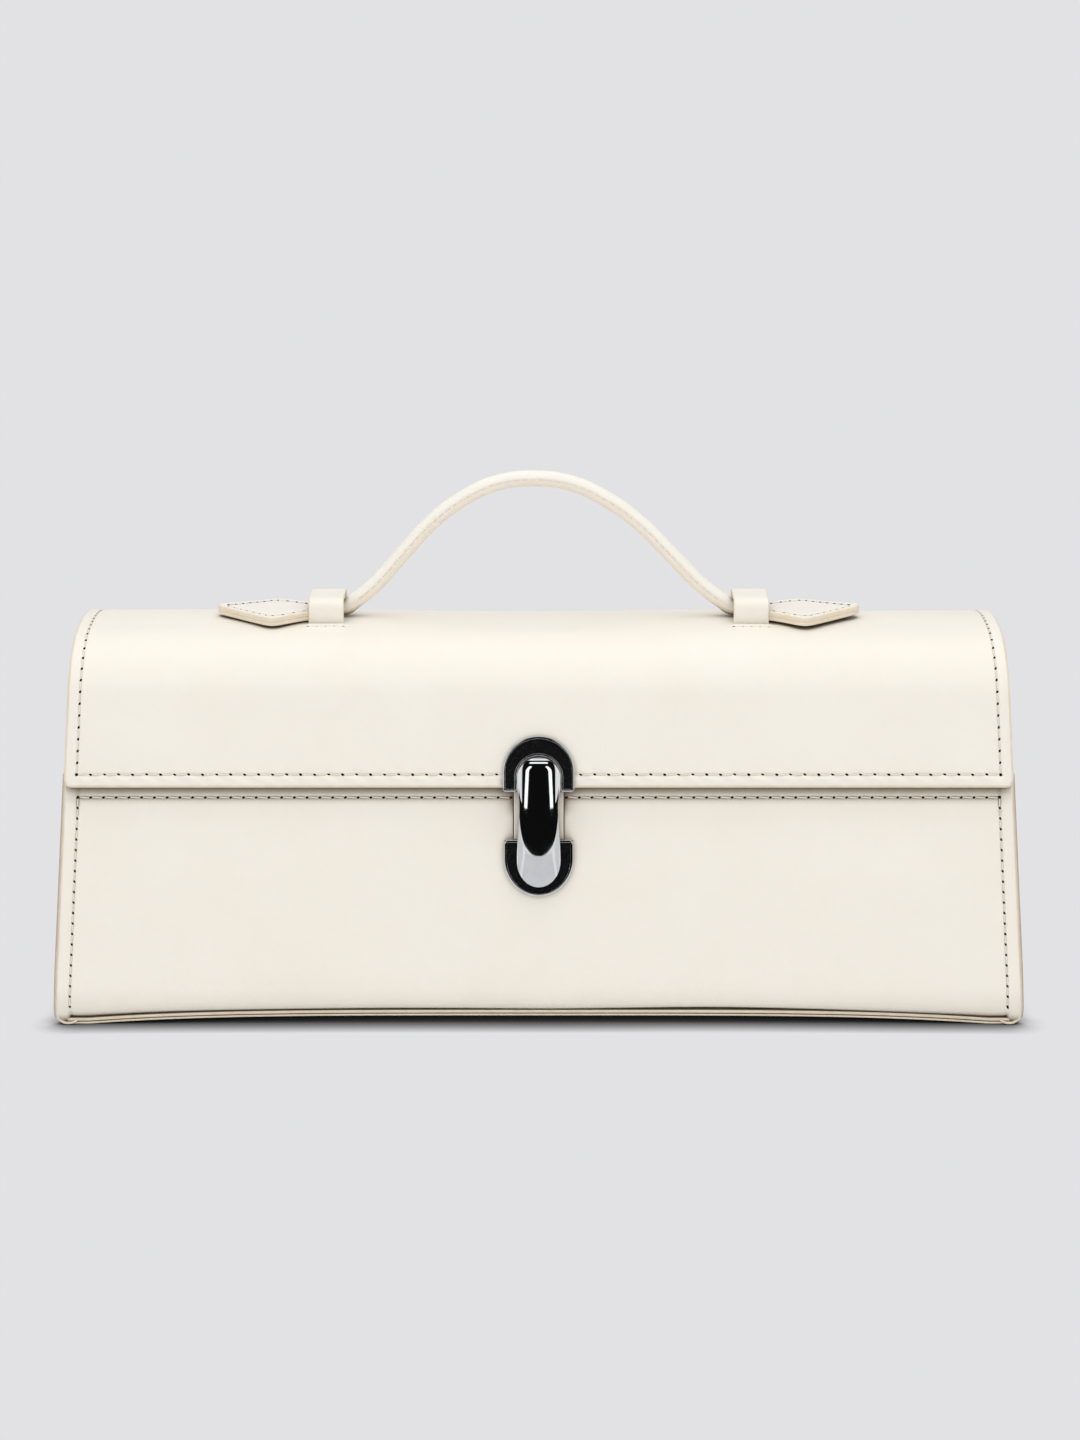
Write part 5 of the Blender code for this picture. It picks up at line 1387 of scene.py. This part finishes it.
CARD_OUTLINE = ((-0.23, 0.010), (-0.10, 0.006), (-0.05, 0.002), (-0.02, 0.0), (0.02, 0.0),
                (0.05, 0.002), (0.10, 0.006), (0.23, 0.010), (0.23, 1.0), (-0.23, 1.0))
WING_OUTLINE = oblong(0.23, 0.70, 0.010, 0.070)
STRIP_OUTLINE = ((0.100, 0.070), (0.155, 0.068), (0.090, 0.215), (0.082, 0.230), (0.060, 0.230),
                 (0.052, 0.215))
HEAD_OUTLINE = oblong(-0.10, 0.10, 0.34, 0.47)
LID_OUTLINE = oblong(-0.35, 0.35, 1.0, 1.8)
FAR_OUTLINE = oblong(0.31, 1.20, 0.10, 0.60)
MAT_NEAR_Y = -0.056
MAT_FAR_Y = -0.268
MAT_LIFT = 0.0006
MAT_OUTLINE = ((-0.040, MAT_NEAR_Y), (0.040, MAT_NEAR_Y), (0.130, MAT_FAR_Y), (-0.130, MAT_FAR_Y))
SIDE_MAT_OUTLINE = ((0.062, MAT_NEAR_Y), (0.8, MAT_NEAR_Y), (0.8, MAT_FAR_Y), (0.185, MAT_FAR_Y))
STRIP_LIFT = 0.002
STRIP_STRENGTH = 1.15
WORLD_STRENGTH = 0.62
CAMERA_PLACE = (0.0004, -0.9891, 0.3433)
CAMERA_PITCH = math.radians(75.5)
CAMERA_LENS = 80.6
CAMERA_SENSOR = 36.0


def mirrored(outline):
    return [(-x, second) for x, second in outline]


def reflected_card(name, corners, look):
    """A stage card that only reflections show."""
    card = stage_piece(name, corners, look)
    card.visible_camera = card.visible_diffuse = False
    card.visible_shadow = card.visible_transmission = False


def stage_piece(name, corners, look):
    mesh = bpy.data.meshes.new(name)
    mesh.from_pydata(corners, [], [tuple(range(len(corners)))])
    mesh.materials.append(look)
    piece = placed(name, mesh)
    return piece


def emptied(owner):
    """The node tree of a material or the world, with nothing in it."""
    owner.use_nodes = True
    owner.node_tree.nodes.clear()
    return owner.node_tree


def glow_look(name, colour, strength):
    made = bpy.data.materials.new(name)
    tree = emptied(made)
    glow = add(tree, "Emission", {"Color": colour, "Strength": strength})
    add(tree, "OutputMaterial", {"Surface": glow.outputs[0]})
    return made


def by_ray(tree, falling, seen):
    """One shader for light that falls on the bag, another for the camera and reflections."""
    ray = add(tree, "LightPath", {}).outputs
    share = calculated(tree, "MAXIMUM", ray["Is Camera Ray"], ray["Is Glossy Ray"])
    shaders = {1: falling.outputs[0], 2: seen.outputs[0]}
    return add(tree, "MixShader", {"Fac": share, **shaders}).outputs[0]


def floor_look():
    """Pale to the camera and to reflections, with a close contact shadow; grey to light."""
    made = bpy.data.materials.new("floor")
    tree = emptied(made)
    contact = add(tree, "AmbientOcclusion", {"Distance": SHADOW_REACH}, samples=SHADOW_SAMPLES)
    depth = calculated(tree, "POWER", contact.outputs["AO"], SHADOW_DEPTH)
    glow = add(tree, "Emission", {"Color": STUDIO_GREY, "Strength": depth})
    matt = add(tree, "BsdfDiffuse", {"Color": STUDIO_GREY})
    add(tree, "OutputMaterial", {"Surface": by_ray(tree, matt, glow)})
    return made


def make_world():
    world = bpy.data.worlds.new("studio")
    bpy.context.scene.world = world
    tree = emptied(world)
    soft = add(tree, "Background", {"Color": (1.0, 1.0, 1.0), "Strength": WORLD_STRENGTH})
    pale = add(tree, "Background", {"Color": STUDIO_GREY})
    add(tree, "OutputWorld", {"Surface": by_ray(tree, soft, pale)})


def softbox(name, place, aim_z, size, power):
    data = bpy.data.lights.new(name, "AREA")
    data.shape = "RECTANGLE"
    data.size, data.size_y = size
    data.energy = power
    lamp = placed(name, data)
    lamp.location = place
    away = Vector((0.0, 0.0, aim_z)) - Vector(place)
    lamp.rotation_euler = away.to_track_quat("-Z", "Y").to_euler()
    lamp.visible_glossy = False


def make_studio():
    floor = oblong(-FLOOR_HALF, FLOOR_HALF, -FLOOR_HALF, FLOOR_HALF)
    stage_piece("floor", [(*corner, 0.0) for corner in floor], floor_look())
    dark = glow_look("dark_card", (0.004, 0.004, 0.004), 1.0)
    bright = glow_look("bright_strip", (1.0, 1.0, 1.0), STRIP_STRENGTH)
    cream = glow_look("cream_card", (0.84, 0.82, 0.77), 1.0)
    grey = glow_look("grey_mat", (0.60, 0.60, 0.61), 1.0)
    for name, look, lift, outline in (
        ("dark_card", dark, 0.0, CARD_OUTLINE),
        ("wing_left", dark, 0.0, mirrored(WING_OUTLINE)),
        ("wing_right", dark, 0.0, WING_OUTLINE),
        ("strip_left", bright, STRIP_LIFT, mirrored(STRIP_OUTLINE)),
        ("strip_right", bright, STRIP_LIFT, STRIP_OUTLINE),
        ("strip_head", bright, STRIP_LIFT, HEAD_OUTLINE),
        ("lid", bright, 0.0, LID_OUTLINE),
        ("far_left", cream, 0.0, mirrored(FAR_OUTLINE)),
        ("far_right", cream, 0.0, FAR_OUTLINE),
    ):
        reflected_card(name, [(x, CARD_Y + lift, z) for x, z in outline], look)
    for name, outline in (("mat", MAT_OUTLINE), ("mat_right", SIDE_MAT_OUTLINE),
                          ("mat_left", mirrored(SIDE_MAT_OUTLINE))):
        reflected_card(name, [(x, y, MAT_LIFT) for x, y in outline], grey)
    make_world()
    softbox("top", (0.0, -0.14, 1.45), 0.08, (1.5, 1.2), 7.8)
    softbox("front", (0.0, -1.7, 0.95), 0.07, (1.6, 1.0), 10.4)


def make_camera():
    data = bpy.data.cameras.new("camera")
    data.sensor_width = CAMERA_SENSOR
    data.lens = CAMERA_LENS
    camera = placed("camera", data)
    camera.location = CAMERA_PLACE
    camera.rotation_euler = (CAMERA_PITCH, 0.0, 0.0)
    bpy.context.scene.camera = camera


wrap_shell = make_wrap()
front_shell = make_panels()
make_flap_lining()
make_linings()
make_gussets()
make_corner_edges()
for side_name, side in SIDES:
    make_keeper(side_name, side)
    make_tab(side_name, side)
make_handle()
make_clasp()
sew_bag(wrap_shell, front_shell)
make_studio()
make_camera()
bpy.context.scene.view_settings.view_transform = "Standard"
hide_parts("base_board")
